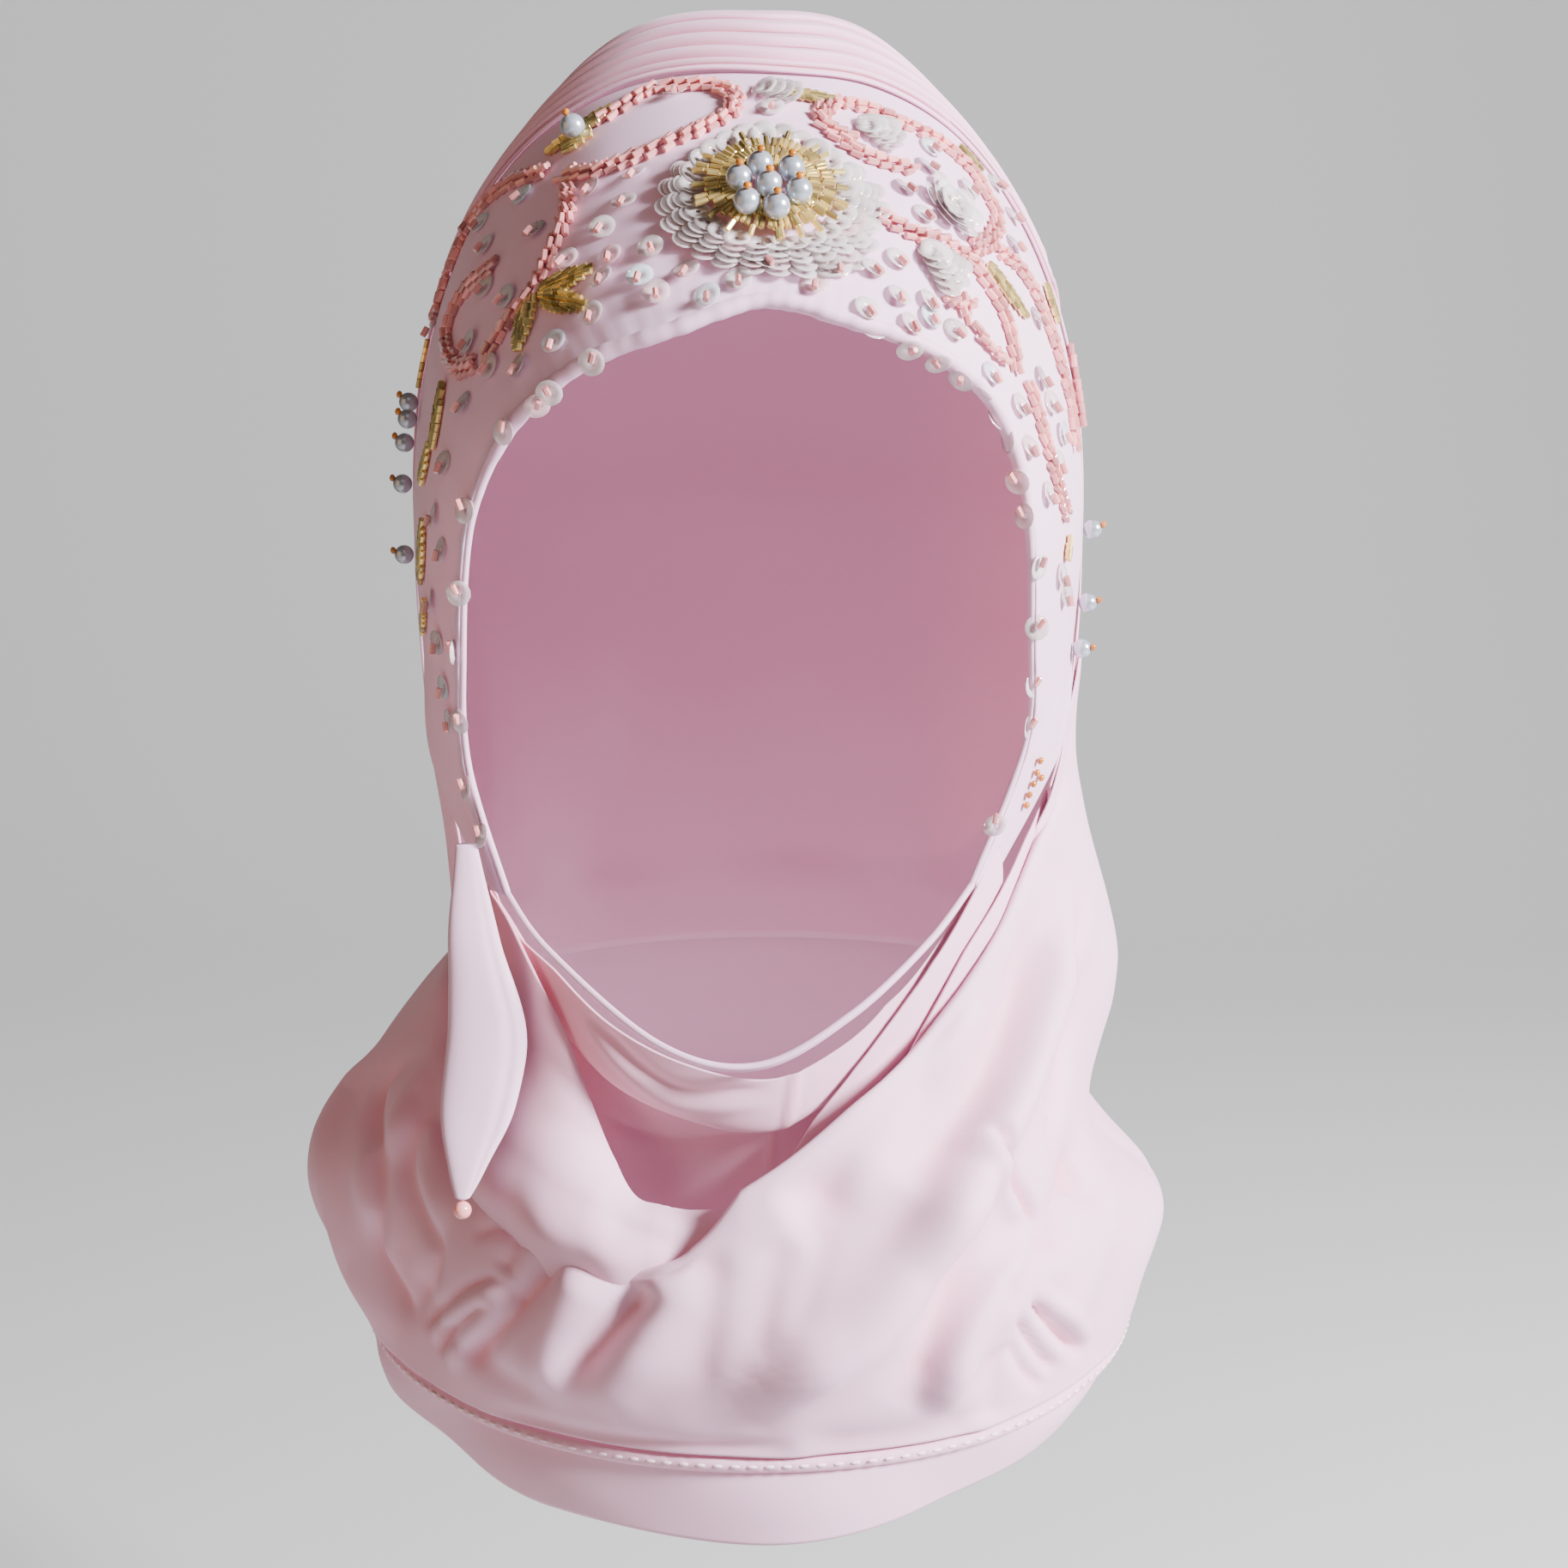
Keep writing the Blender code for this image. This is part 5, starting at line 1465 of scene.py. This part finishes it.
def leaf_spots(tree, row, rng):
    """Placements of the bugle beads of a leaf, in a herringbone from its foot to its tip."""
    foot_x, foot_y, tip_x, tip_y, half = row
    foot = on_cloth(tree, foot_x, foot_y)[0]
    tip = on_cloth(tree, tip_x, tip_y)[0]
    steps = max(3, round((tip - foot).length / LEAF_STEP))
    spots = []
    for i in range(steps):
        share = (i + 0.5) / steps
        point, normal = on_cloth(tree, blend(foot_x, tip_x, share), blend(foot_y, tip_y, share))
        along = (tip - foot).normalized()
        along = (along - normal * along.dot(normal)).normalized()
        side = normal.cross(along)
        width = half * MM * math.sin(math.pi * min(1.0, 0.2 + 0.8 * share)) ** 0.7
        for way in (-1, 1):
            for lane in (0.3, 0.85):
                splay = way * blend(0.45, 0.15, share) * lane
                direction = Matrix.Rotation(splay, 3, normal) @ along
                centre = point + side * way * width * lane + normal * SEWN_LIFT
                centre += along * rng.uniform(-0.0004, 0.0004)
                spots.append(axes_matrix(centre, direction, normal) @ scaling(0.85, 0.85, 0.8))
    return spots


def sequin_with_bugle(point, normal, rng, down):
    """Placement of a sequin on the cloth and of the bugle bead that holds it."""
    across, up = cloth_frame(normal)
    lean = normal + across * rng.uniform(-0.3, 0.3) + up * rng.uniform(-0.1, 0.35)
    seat = point + normal * SEWN_LIFT
    disc = axes_matrix(seat, lean, across)
    way = (-up if down else up) + across * rng.uniform(-0.35, 0.5) + normal * 0.25
    bugle = axes_matrix(seat + normal * 0.0008 + way.normalized() * 0.0014, way, normal)
    return disc, bugle @ scaling(0.95, 0.95, 0.85)


def lay_sequins(name, cloth, pixels, down, rng):
    """Lay single sequins on a piece of cloth, each with the bugle bead that holds it."""
    tree = outer_tree(bpy.data.objects[cloth])
    spots = [sequin_with_bugle(*on_cloth(tree, px, py), rng, down) for px, py in pixels]
    discs = [disc for disc, _ in spots]
    bugles = [bugle for _, bugle in spots]
    place_many(name, sequin_form(), discs, [rng.random() for _ in discs], material_of("sequin_film"),
               [], extra=[(bugle_form(), bugles, [rng.random() for _ in bugles],
                                     material_of("pink_bugle_glass"))])


class HIJAB_OT_veil(bpy.types.Operator):
    """Make the pleated crown and the curtain at the sides and back"""
    bl_idname = "hijab.veil"
    bl_label = "Veil"

    def execute(self, context):
        bm = veil_mesh()
        weld(bm)
        ripple(bm, 34.0, 0.5, 2.0)
        # Painted shade: the veil's hollows take more of the deep colour, over an even share of it
        values = hollow_values(bm, 0.0012)
        face_out(bm)
        mesh = cloth_mesh(bm, "veil", values * 0.12 + 0.05)
        piece = add_cloth("pleated_veil", mesh, material_of("blush_crepe"), ["veil"])
        return {"FINISHED"}


class HIJAB_OT_band(bpy.types.Operator):
    """Make the cloth of the front band and its rolled rim"""
    bl_idname = "hijab.band"
    bl_label = "Front band and rim"

    def execute(self, context):
        bm = bmesh.new()
        add_grid(bm, band_surface, 260, 56, (0.5, 0.06))
        # Painted shade: the band's hollows take more of the deep colour
        values = hollow_values(bm, 0.0008)
        face_out(bm)
        mesh = cloth_mesh(bm, "band_cloth", values * 0.4)
        piece = add_cloth("band_cloth", mesh, material_of("forehead_crepe"), ["front_band"])
        bm = bmesh.new()
        points = rim_loop()
        add_grid(bm, tube_surface(points, rim_size, from_head), len(points), 16, (0.62, 0.015))
        weld(bm)
        bmesh.ops.recalc_face_normals(bm, faces=bm.faces)
        rim = cloth_mesh(bm, "rolled_rim", 0.08)
        add_piece("rolled_rim", rim, material_of("forehead_crepe"), ["face_rim"])
        return {"FINISHED"}


class HIJAB_OT_neck(bpy.types.Operator):
    """Make the neck panel, the slim folds beside it and the cowl under the chin"""
    bl_idname = "hijab.neck"
    bl_label = "Neck panel and cowl"

    def execute(self, context):
        def panel_seam(angle, share):
            seam = 0.8 * math.exp(-((angle - 8.0 + 4.0 * share) / 0.7) ** 2)
            soft = 0.5 * math.sin(angle * 0.21 + share * 5.0) * share
            return seam + soft * (1.0 - ease((share - 0.9) / 0.1))

        def cowl_marks(angle, share):
            mark = math.exp(-((angle + 10.5) / 0.35) ** 2) + math.exp(-((angle + 11.8) / 0.35) ** 2)
            swell = 0.8 * math.sin(math.pi * share) * math.sin(angle * 0.13 + 1.0)
            return 0.5 * mark * (1.0 - share) + swell

        jobs = [
            ("neck_panel_cloth", drape_grid(NECK_ROWS, -62.0, 54.0, panel_seam), 150, 80,
             (0.15, 0.07), ["neck_panel"], "stretched"),
            ("inner_fold_cloth", drape_grid(INNER_FOLD_ROWS, 4.0, 52.0), 80, 24, (0.08, 0.021),
             ["inner_fold"], "draped"),
            ("cowl_cloth", drape_grid(COWL_ROWS, -74.0, 72.0, cowl_marks), 220, 60, (0.22, 0.048),
             ["cowl_wrap"], "draped"),
        ]
        for name, surface, along, across, cut, nodes, held in jobs:
            bm = bmesh.new()
            add_grid(bm, surface, along, across, cut)
            ripple(bm, 22.0, 0.4, 5.0)
            values = hollow_values(bm, 0.0010)
            if name == "neck_panel_cloth":
                face_out(bm)
                press_folds(bm, NECK_FOLDS)
            # Painted shade: hollows and the shade of the tie and folds below the chin take more of the
            # deep colour; the inner fold gets an even painted shade
            shade = neck_shade(bm) if name != "inner_fold_cloth" else 0.15
            face_out(bm)
            mesh = cloth_mesh(bm, name, values * 0.5 + shade)
            piece = add_cloth(name, mesh, material_of("blush_crepe"), nodes)
        return {"FINISHED"}


class HIJAB_OT_cape(bpy.types.Operator):
    """Make the wrap round the shoulders with its folds"""
    bl_idname = "hijab.cape"
    bl_label = "Shoulder cape"

    def execute(self, context):
        bm = bmesh.new()
        columns = 430
        add_grid(bm, cape_surface(columns), columns, 104, (0.7, 0.11))
        weld(bm)
        face_out(bm)
        lift = press_folds(bm, FINE_FOLDS, CAPE_EDGE_SHARE)
        ripple(bm, 26.0, 0.8, 9.0)
        ripple(bm, 9.0, 0.15, 3.0)
        # Painted shade: hollows and the troughs of the fine folds take more of the deep colour
        values = hollow_values(bm, 0.0016)
        trough_shade = np.clip(-lift / (4.0 * MM), 0.0, 1.0)
        face_out(bm)
        mesh = cloth_mesh(bm, "shoulder_wrap", values * 0.5 + 0.04 + trough_shade * 0.12)
        piece = add_cloth("shoulder_wrap", mesh, material_of("blush_crepe"), ["shoulder_cape"])
        return {"FINISHED"}


def hem_size(u, v):
    """Radius of the rolled hem, with small dips on its outer side as sewing leaves them."""
    dip = max(0.0, math.sin(2.0 * math.pi * u * HEM_DIPS)) ** 3
    front = max(0.0, math.cos(2.0 * math.pi * v)) ** 2
    return SEAM_RADIUS + 0.25 - 0.35 * dip * front


def stitch_spots():
    """Placements of the stitches round the rolled hem."""
    spots = []
    for i in range(STITCH_COUNT):
        angle = 360.0 * (i + 0.5) / STITCH_COUNT
        radius = ring_row(HEM_ROWS, angle)[0] + SEAM_RADIUS + 0.2
        here = to_metres(drape_point(angle, radius, SEAM_HEIGHT + 0.3))
        ahead = to_metres(drape_point(angle + 1.0, radius, SEAM_HEIGHT + 0.3))
        out = Vector((math.sin(math.radians(angle)), -math.cos(math.radians(angle)), 0.0))
        spots.append(axes_matrix(here, ahead - here, out) @ scaling(0.32, 0.42, 1.5))
    return spots


def flounce_surface(u, v):
    """Point of the flounce: u round the hem and v from the seam down, with soft waves at its foot."""
    angle = 360.0 * u
    seam_radius, foot_radius, foot_height = ring_row(HEM_ROWS, angle)
    wave = 0.8 * math.sin(math.radians(angle) * 9.0)
    bulge = (0.5 + wave) * math.sin(math.pi * v) + 1.5 * wave * v * v
    radius = blend(seam_radius - 0.6, foot_radius, v) + bulge
    return drape_point(angle, radius, blend(FLOUNCE_TOP + 0.9, foot_height, v))


class HIJAB_OT_hem(bpy.types.Operator):
    """Make the rolled hem seam with its stitches, and the flounce below it"""
    bl_idname = "hijab.hem"
    bl_label = "Hem seam and flounce"

    def execute(self, context):
        steps = 480
        points = []
        for i in range(steps):
            angle = 360.0 * i / steps
            points.append(drape_point(angle, ring_row(HEM_ROWS, angle)[0], SEAM_HEIGHT))

        bm = bmesh.new()
        add_grid(bm, tube_surface(points, hem_size, from_drape_axis), steps, 10, (0.64, 0.01))
        weld(bm)
        bmesh.ops.recalc_face_normals(bm, faces=bm.faces)
        mesh = cloth_mesh(bm, "hem_roll", 0.1)
        add_piece("hem_roll", mesh, material_of("blush_crepe"), ["hem_seam"])

        stitches = stitch_spots()
        place_many("hem_stitches", seed_form(), stitches, [0.6] * len(stitches),
                   material_of("stitch_thread"), [])

        bm = bmesh.new()
        add_grid(bm, flounce_surface, 360, 22, (0.64, 0.015))
        weld(bm)
        face_out(bm)
        ripple(bm, 20.0, 0.5, 7.0)
        # Painted shade: the flounce's hollows take more of the deep colour
        values = hollow_values(bm, 0.0012)
        face_out(bm)
        mesh = cloth_mesh(bm, "hem_flounce_cloth", values * 0.5 + 0.03)
        piece = add_cloth("hem_flounce_cloth", mesh, material_of("blush_crepe"), ["hem_flounce"])
        return {"FINISHED"}


class HIJAB_OT_tie(bpy.types.Operator):
    """Make the flat side tie and the bead at its tip"""
    bl_idname = "hijab.tie"
    bl_label = "Side tie"

    def execute(self, context):
        last = len(TIE_ROWS) - 1

        def surface(u, v):
            height, left, right, depth, thick = curve_row(TIE_ROWS, last * v)
            a = 2.0 * math.pi * u
            wide = math.copysign(abs(math.cos(a)) ** 0.8, math.cos(a))
            crease = 0.4 * math.exp(-((wide - 0.62) / 0.13) ** 2) * math.sin(math.pi * v)
            front = 1.0 if math.sin(a) > 0 else 0.3
            close = 1.0 if v < 0.97 else max(0.06, (1.0 - v) / 0.03)
            x = blend(left, right, 0.5 + 0.5 * wide * close)
            y = depth - (0.5 * thick * math.sin(a) - crease * front * math.sin(a)) * close
            return Vector((x, y, height))

        bm = bmesh.new()
        add_grid(bm, surface, 56, 90, (0.036, 0.08))
        weld(bm)
        edges = [edge for edge in bm.edges if edge.is_boundary]
        bmesh.ops.holes_fill(bm, edges=edges, sides=0)
        bmesh.ops.recalc_face_normals(bm, faces=bm.faces)
        ripple(bm, 14.0, 0.35, 1.0)
        # Painted shade: the tie's hollows take more of the deep colour
        values = hollow_values(bm, 0.0012)
        mesh = cloth_mesh(bm, "side_tie_cloth", values * 0.4 + 0.05)
        add_piece("side_tie_cloth", mesh, material_of("forehead_crepe"), ["side_tie"])
        tip_height, left, right, depth, _ = TIE_ROWS[-1]
        centre = to_metres(Vector((blend(left, right, 0.5), depth, tip_height - TIE_BEAD_RADIUS - 0.3)))
        size = TIE_BEAD_RADIUS * MM
        places = [Matrix.Translation(centre) @ scaling(size, size, size)]
        place_many("tie_tip_bead", pearl_form(), places, [0.8], material_of("pink_bugle_glass"),
                   ["tie_bead"])
        return {"FINISHED"}


def flower_places(tree, centre, normal):
    """Function of (angle, radius) round the flower's centre: point of the cloth, outward, and spoke."""
    across, up = cloth_frame(normal)

    def at(angle, radius):
        spoke = across * math.cos(angle) + up * math.sin(angle)
        point, out = tree.find_nearest(centre + spoke * radius * MM)[:2]
        if out.dot(normal) < 0:
            out = -out
        return point, out, (spoke - out * spoke.dot(out)).normalized()

    return at


def petal_discs(at, rng):
    """Placements of the sequins in the strings of petals, from the edge in."""
    discs = []
    for i in range(PETAL_STRINGS):
        angle = 2.0 * math.pi * (i + 0.5) / PETAL_STRINGS
        edge = ring_row(FLOWER_OUTLINE, math.degrees(angle))[0] - 2.4
        for k in range(PETAL_SEQUINS):
            radius = blend(edge, PETAL_INNER + 1.2, k / (PETAL_SEQUINS - 1))
            point, out, spoke = at(angle + rng.uniform(-0.02, 0.02), radius)
            side = out.cross(spoke)
            lean = out - spoke * rng.uniform(0.28, 0.46) + side * rng.uniform(-0.12, 0.12)
            discs.append(axes_matrix(point + out * (SEWN_LIFT + 0.0001 * k), lean, spoke))
    return discs


def ray_bugles(at, rng):
    """Placements of the bugle beads in the rays, long and short ones by turns."""
    rays = []
    for i in range(RAY_COUNT):
        angle = 2.0 * math.pi * i / RAY_COUNT
        radius = RAY_INNER if i % 2 else RAY_INNER + 2.6
        end = RAY_OUTER - 1.6 + rng.uniform(-0.6, 0.6) + (0.0 if i % 3 else 1.2)
        while radius < end:
            point, out, spoke = at(angle + rng.uniform(-0.03, 0.03), radius)
            direction = spoke + out * rng.uniform(-0.12, 0.12)
            spot = axes_matrix(point + out * 0.0026, direction, out)
            rays.append(spot @ scaling(0.84, 0.84, 0.98))
            radius += RAY_PITCH
    return rays


class HIJAB_OT_flower(bpy.types.Operator):
    """Make the sequins, gold rays and pearls of the central flower"""
    bl_idname = "hijab.flower"
    bl_label = "Central flower"

    def execute(self, context):
        tree = outer_tree(bpy.data.objects["band_cloth"])
        rng = random.Random(FLOWER_DRAW)
        centre, normal = on_cloth(tree, *FLOWER_PIXEL)
        at = flower_places(tree, centre, normal)
        discs = petal_discs(at, rng)
        place_many("flower_sequin_ring", sequin_form(), discs, [rng.random() * 0.8 for _ in discs],
                   material_of("sequin_film"), ["flower_sequins"])
        rays = ray_bugles(at, rng)
        place_many("flower_gold_rays", bugle_form(), rays, [rng.random() for _ in rays],
                   material_of("gold_bugle_glass"), ["flower_rays"])
        pearls = pearl_form()
        seed = seed_form()
        for i in range(FLOWER_PEARL_COUNT):
            self.add_pearl("pearl_flower_%d" % (i + 1), PEARL_RADIUS, pearls, seed, normal, rng)
        out = on_cloth(tree, *UPPER_PEARL)[1]
        self.add_pearl("pearl_upper_left", UPPER_PEARL_RADIUS, pearls, seed, out, rng)
        for i in range(TEMPLE_PEARL_COUNT):
            node = "pearl_temple_%d" % (i + 1)
            low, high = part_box(node)
            out = (to_table((low + high) / 2) - HEAD_CENTRE).normalized()
            self.add_pearl(node, TEMPLE_PEARL_RADIUS, pearls, seed, out, rng)
        return {"FINISHED"}

    def add_pearl(self, node, radius, pearls, seed, out, rng):
        """Pearl where the frame has it, with an amber seed bead on its top."""
        low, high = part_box(node)
        centre = (low + high) / 2
        size = radius * MM
        spot = Matrix.Translation(centre) @ scaling(size, size, size)
        way = (out + Vector((0, 0, 0.5))).normalized()
        top = axes_matrix(centre + way * size * 1.22, out, Vector((1, 0, 0)))
        place_many(node + "_bead", pearls, [spot], [rng.random()], material_of("silvery_pearl"),
                   [node], extra=[(seed, [top], [rng.random()], material_of("amber_seed_glass"))])


class HIJAB_OT_vines(bpy.types.Operator):
    """Lay the pink bugle bead vines and sprigs"""
    bl_idname = "hijab.vines"
    bl_label = "Pink bead vines"

    def execute(self, context):
        tree = outer_tree(bpy.data.objects["band_cloth"])
        rng = random.Random(VINE_DRAW)
        form = bugle_form()
        pink = material_of("pink_bugle_glass")
        for name, pixels in VINES.items():
            spots = bead_spots(tree, pixels, VINE_STEP, VINE_LANES, rng)
            place_many(name + "_beads", form, spots, [rng.random() for _ in spots], pink, [name])
        spots = []
        for pixels in SPRIGS:
            spots += bead_spots(tree, pixels, SPRIG_STEP, VINE_LANES[1:], rng)
        place_many("pink_sprigs", form, spots, [rng.random() for _ in spots], pink, [])
        return {"FINISHED"}


class HIJAB_OT_leaves(bpy.types.Operator):
    """Lay the gold bugle bead leaves and the gold seed beads"""
    bl_idname = "hijab.leaves"
    bl_label = "Gold bead leaves"

    def execute(self, context):
        tree = outer_tree(bpy.data.objects["band_cloth"])
        rng = random.Random(LEAF_DRAW)
        form = bugle_form()
        gold = material_of("gold_bugle_glass")
        for name, row in LEAVES.items():
            spots = leaf_spots(tree, row, rng)
            place_many(name + "_beads", form, spots, [rng.random() for _ in spots], gold, [name])
        spots = []
        for row in SMALL_LEAVES:
            spots += leaf_spots(tree, row, rng)
        seeds = []
        for px, py in SEED_PIXELS:
            point, normal = on_cloth(tree, px, py)
            seeds.append(axes_matrix(point + normal * 0.001, normal, Vector((1, 0, 0))))
        place_many("gold_sprigs", form, spots, [rng.random() for _ in spots], gold, [],
                   extra=[(seed_form(), seeds, [rng.random() for _ in seeds],
                           material_of("amber_seed_glass"))])
        return {"FINISHED"}


class HIJAB_OT_sequins(bpy.types.Operator):
    """Lay the clusters of sequins and the single sequins with their bugle beads"""
    bl_idname = "hijab.sequins"
    bl_label = "Sequins"

    def execute(self, context):
        tree = outer_tree(bpy.data.objects["band_cloth"])
        rng = random.Random(SEQUIN_DRAW)
        film = material_of("sequin_film")
        disc = sequin_form()
        for name, (px, py, strings, count, first, last) in CLUSTERS.items():
            point, normal = on_cloth(tree, px, py)
            across, up = cloth_frame(normal)
            discs = []
            for i in range(strings):
                angle = math.radians(blend(first, last, i / max(1, strings - 1)))
                spoke = across * math.cos(angle) + up * math.sin(angle)
                for k in range(count, 0, -1):
                    seat = tree.find_nearest(point + spoke * 0.0021 * k)[0]
                    lean = normal - spoke * rng.uniform(0.3, 0.5)
                    above = 0.0012 + 0.0002 * (count - k)
                    discs.append(axes_matrix(seat + normal * above, lean, spoke))
            place_many(name + "_sequins", disc, discs, [rng.random() * 0.7 for _ in discs], film, [name])
        lay_sequins("single_sequins", "band_cloth", SEQUIN_PIXELS, True, rng)
        lay_sequins("rim_sequins", "rolled_rim", RIM_PIXELS, False, rng)
        return {"FINISHED"}


def add_object(name, data):
    """Link a stage object that isn't a piece."""
    made = bpy.data.objects.new(name, data)
    bpy.context.scene.collection.objects.link(made)
    return made


def sweep_point(across, way):
    """Point of the floor and backdrop: way runs from the front edge back along the floor and up."""
    if way < SWEEP_FLAT:
        return (across, way + SWEEP_FRONT, FLOOR_LEVEL)
    bend = min(1.0, (way - SWEEP_FLAT) / SWEEP_BEND) * math.pi / 2
    rise = max(0.0, way - SWEEP_FLAT - SWEEP_BEND)
    return (across, SWEEP_FRONT + SWEEP_FLAT + SWEEP_RADIUS * math.sin(bend),
            FLOOR_LEVEL + SWEEP_RADIUS * (1.0 - math.cos(bend)) + rise)


def studio_paper(colour):
    """Matt paper that glows a little, and more where the camera sees it."""
    material, tree, shader = new_material("studio_paper")
    rays = tree.nodes.new("ShaderNodeLightPath")
    seen = math_node(tree, "MULTIPLY", rays.outputs["Is Camera Ray"], BACKDROP_GLOW)
    glow = math_node(tree, "ADD", seen, FLOOR_GLOW)
    feed_all(tree, shader, {"Base Color": (*colour, 1.0), "Roughness": 0.9,
                            "Emission Color": (*colour, 1.0), "Emission Strength": glow})
    return material


class HIJAB_OT_stage(bpy.types.Operator):
    """Make the camera, the floor, the backdrop and the lights"""
    bl_idname = "hijab.stage"
    bl_label = "Studio"

    def execute(self, context):
        settings = context.scene.hijab_stage
        view = bpy.data.cameras.new("front_view")
        view.sensor_width = SENSOR_WIDTH
        view.lens = PICTURE_FOCAL / PICTURE_SIZE * SENSOR_WIDTH
        view.clip_start = 0.05
        view.clip_end = 20.0
        camera = add_object("front_view", view)
        camera.location = to_metres(EYE)
        camera.rotation_euler = (math.pi / 2 - EYE_TILT, 0.0, 0.0)
        context.scene.camera = camera

        bm = bmesh.new()
        made = bmesh.ops.create_grid(bm, x_segments=2, y_segments=48, size=0.5)["verts"]
        for vertex in made:
            vertex.co = sweep_point(vertex.co.x * SWEEP_SIZE, (vertex.co.y + 0.5) * SWEEP_SIZE)
        bmesh.ops.recalc_face_normals(bm, faces=bm.faces)
        mesh = mesh_data(bm, "studio_sweep")
        mesh.materials.append(studio_paper(settings.floor))
        add_object("studio_sweep", mesh)

        for name, place, size, colour in LAMPS:
            light = bpy.data.lights.new(name, "AREA")
            light.shape = "SQUARE"
            light.size = size
            light.energy = getattr(settings, name)
            light.color = colour
            lamp = add_object(name, light)
            lamp.location = place
            aim = Vector(LAMP_AIM) - Vector(place)
            lamp.rotation_euler = aim.to_track_quat("-Z", "Y").to_euler()

        world = bpy.data.worlds.new("studio_air")
        world.use_nodes = True
        sky = world.node_tree.nodes["Background"]
        feed_all(world.node_tree, sky, {"Color": (1.0, 1.0, 1.0, 1.0), "Strength": settings.sky})
        context.scene.world = world
        return {"FINISHED"}


class HIJAB_PT_panel(bpy.types.Panel):
    """Settings and steps of the hijab"""
    bl_label = "Embellished hijab"
    bl_idname = "HIJAB_PT_panel"
    bl_space_type = "VIEW_3D"
    bl_region_type = "UI"
    bl_category = "Hijab"

    def draw(self, context):
        layout = self.layout
        for group in (context.scene.hijab_cloth, context.scene.hijab_beads, context.scene.hijab_stage):
            for label in group.bl_rna.properties.keys():
                if label not in {"rna_type", "name"}:
                    layout.prop(group, label)
        for step in STEPS:
            layout.operator(step.bl_idname)


STEPS = (HIJAB_OT_stage, HIJAB_OT_veil, HIJAB_OT_band, HIJAB_OT_neck, HIJAB_OT_cape, HIJAB_OT_hem,
         HIJAB_OT_tie, HIJAB_OT_flower, HIJAB_OT_vines, HIJAB_OT_leaves, HIJAB_OT_sequins)
CLASSES = (HijabCloth, HijabBeads, HijabStage, *STEPS, HIJAB_PT_panel)


def register():
    for kind in CLASSES:
        bpy.utils.register_class(kind)
    bpy.types.Scene.hijab_cloth = bpy.props.PointerProperty(type=HijabCloth)
    bpy.types.Scene.hijab_beads = bpy.props.PointerProperty(type=HijabBeads)
    bpy.types.Scene.hijab_stage = bpy.props.PointerProperty(type=HijabStage)


def unregister():
    del bpy.types.Scene.hijab_stage
    del bpy.types.Scene.hijab_beads
    del bpy.types.Scene.hijab_cloth
    for kind in reversed(CLASSES):
        bpy.utils.unregister_class(kind)


def main():
    register()
    bpy.ops.hijab.stage()
    bpy.ops.hijab.veil()
    bpy.ops.hijab.band()
    bpy.ops.hijab.neck()
    bpy.ops.hijab.cape()
    bpy.ops.hijab.hem()
    bpy.ops.hijab.tie()
    bpy.ops.hijab.flower()
    bpy.ops.hijab.vines()
    bpy.ops.hijab.leaves()
    bpy.ops.hijab.sequins()


if __name__ == "__main__":
    main()
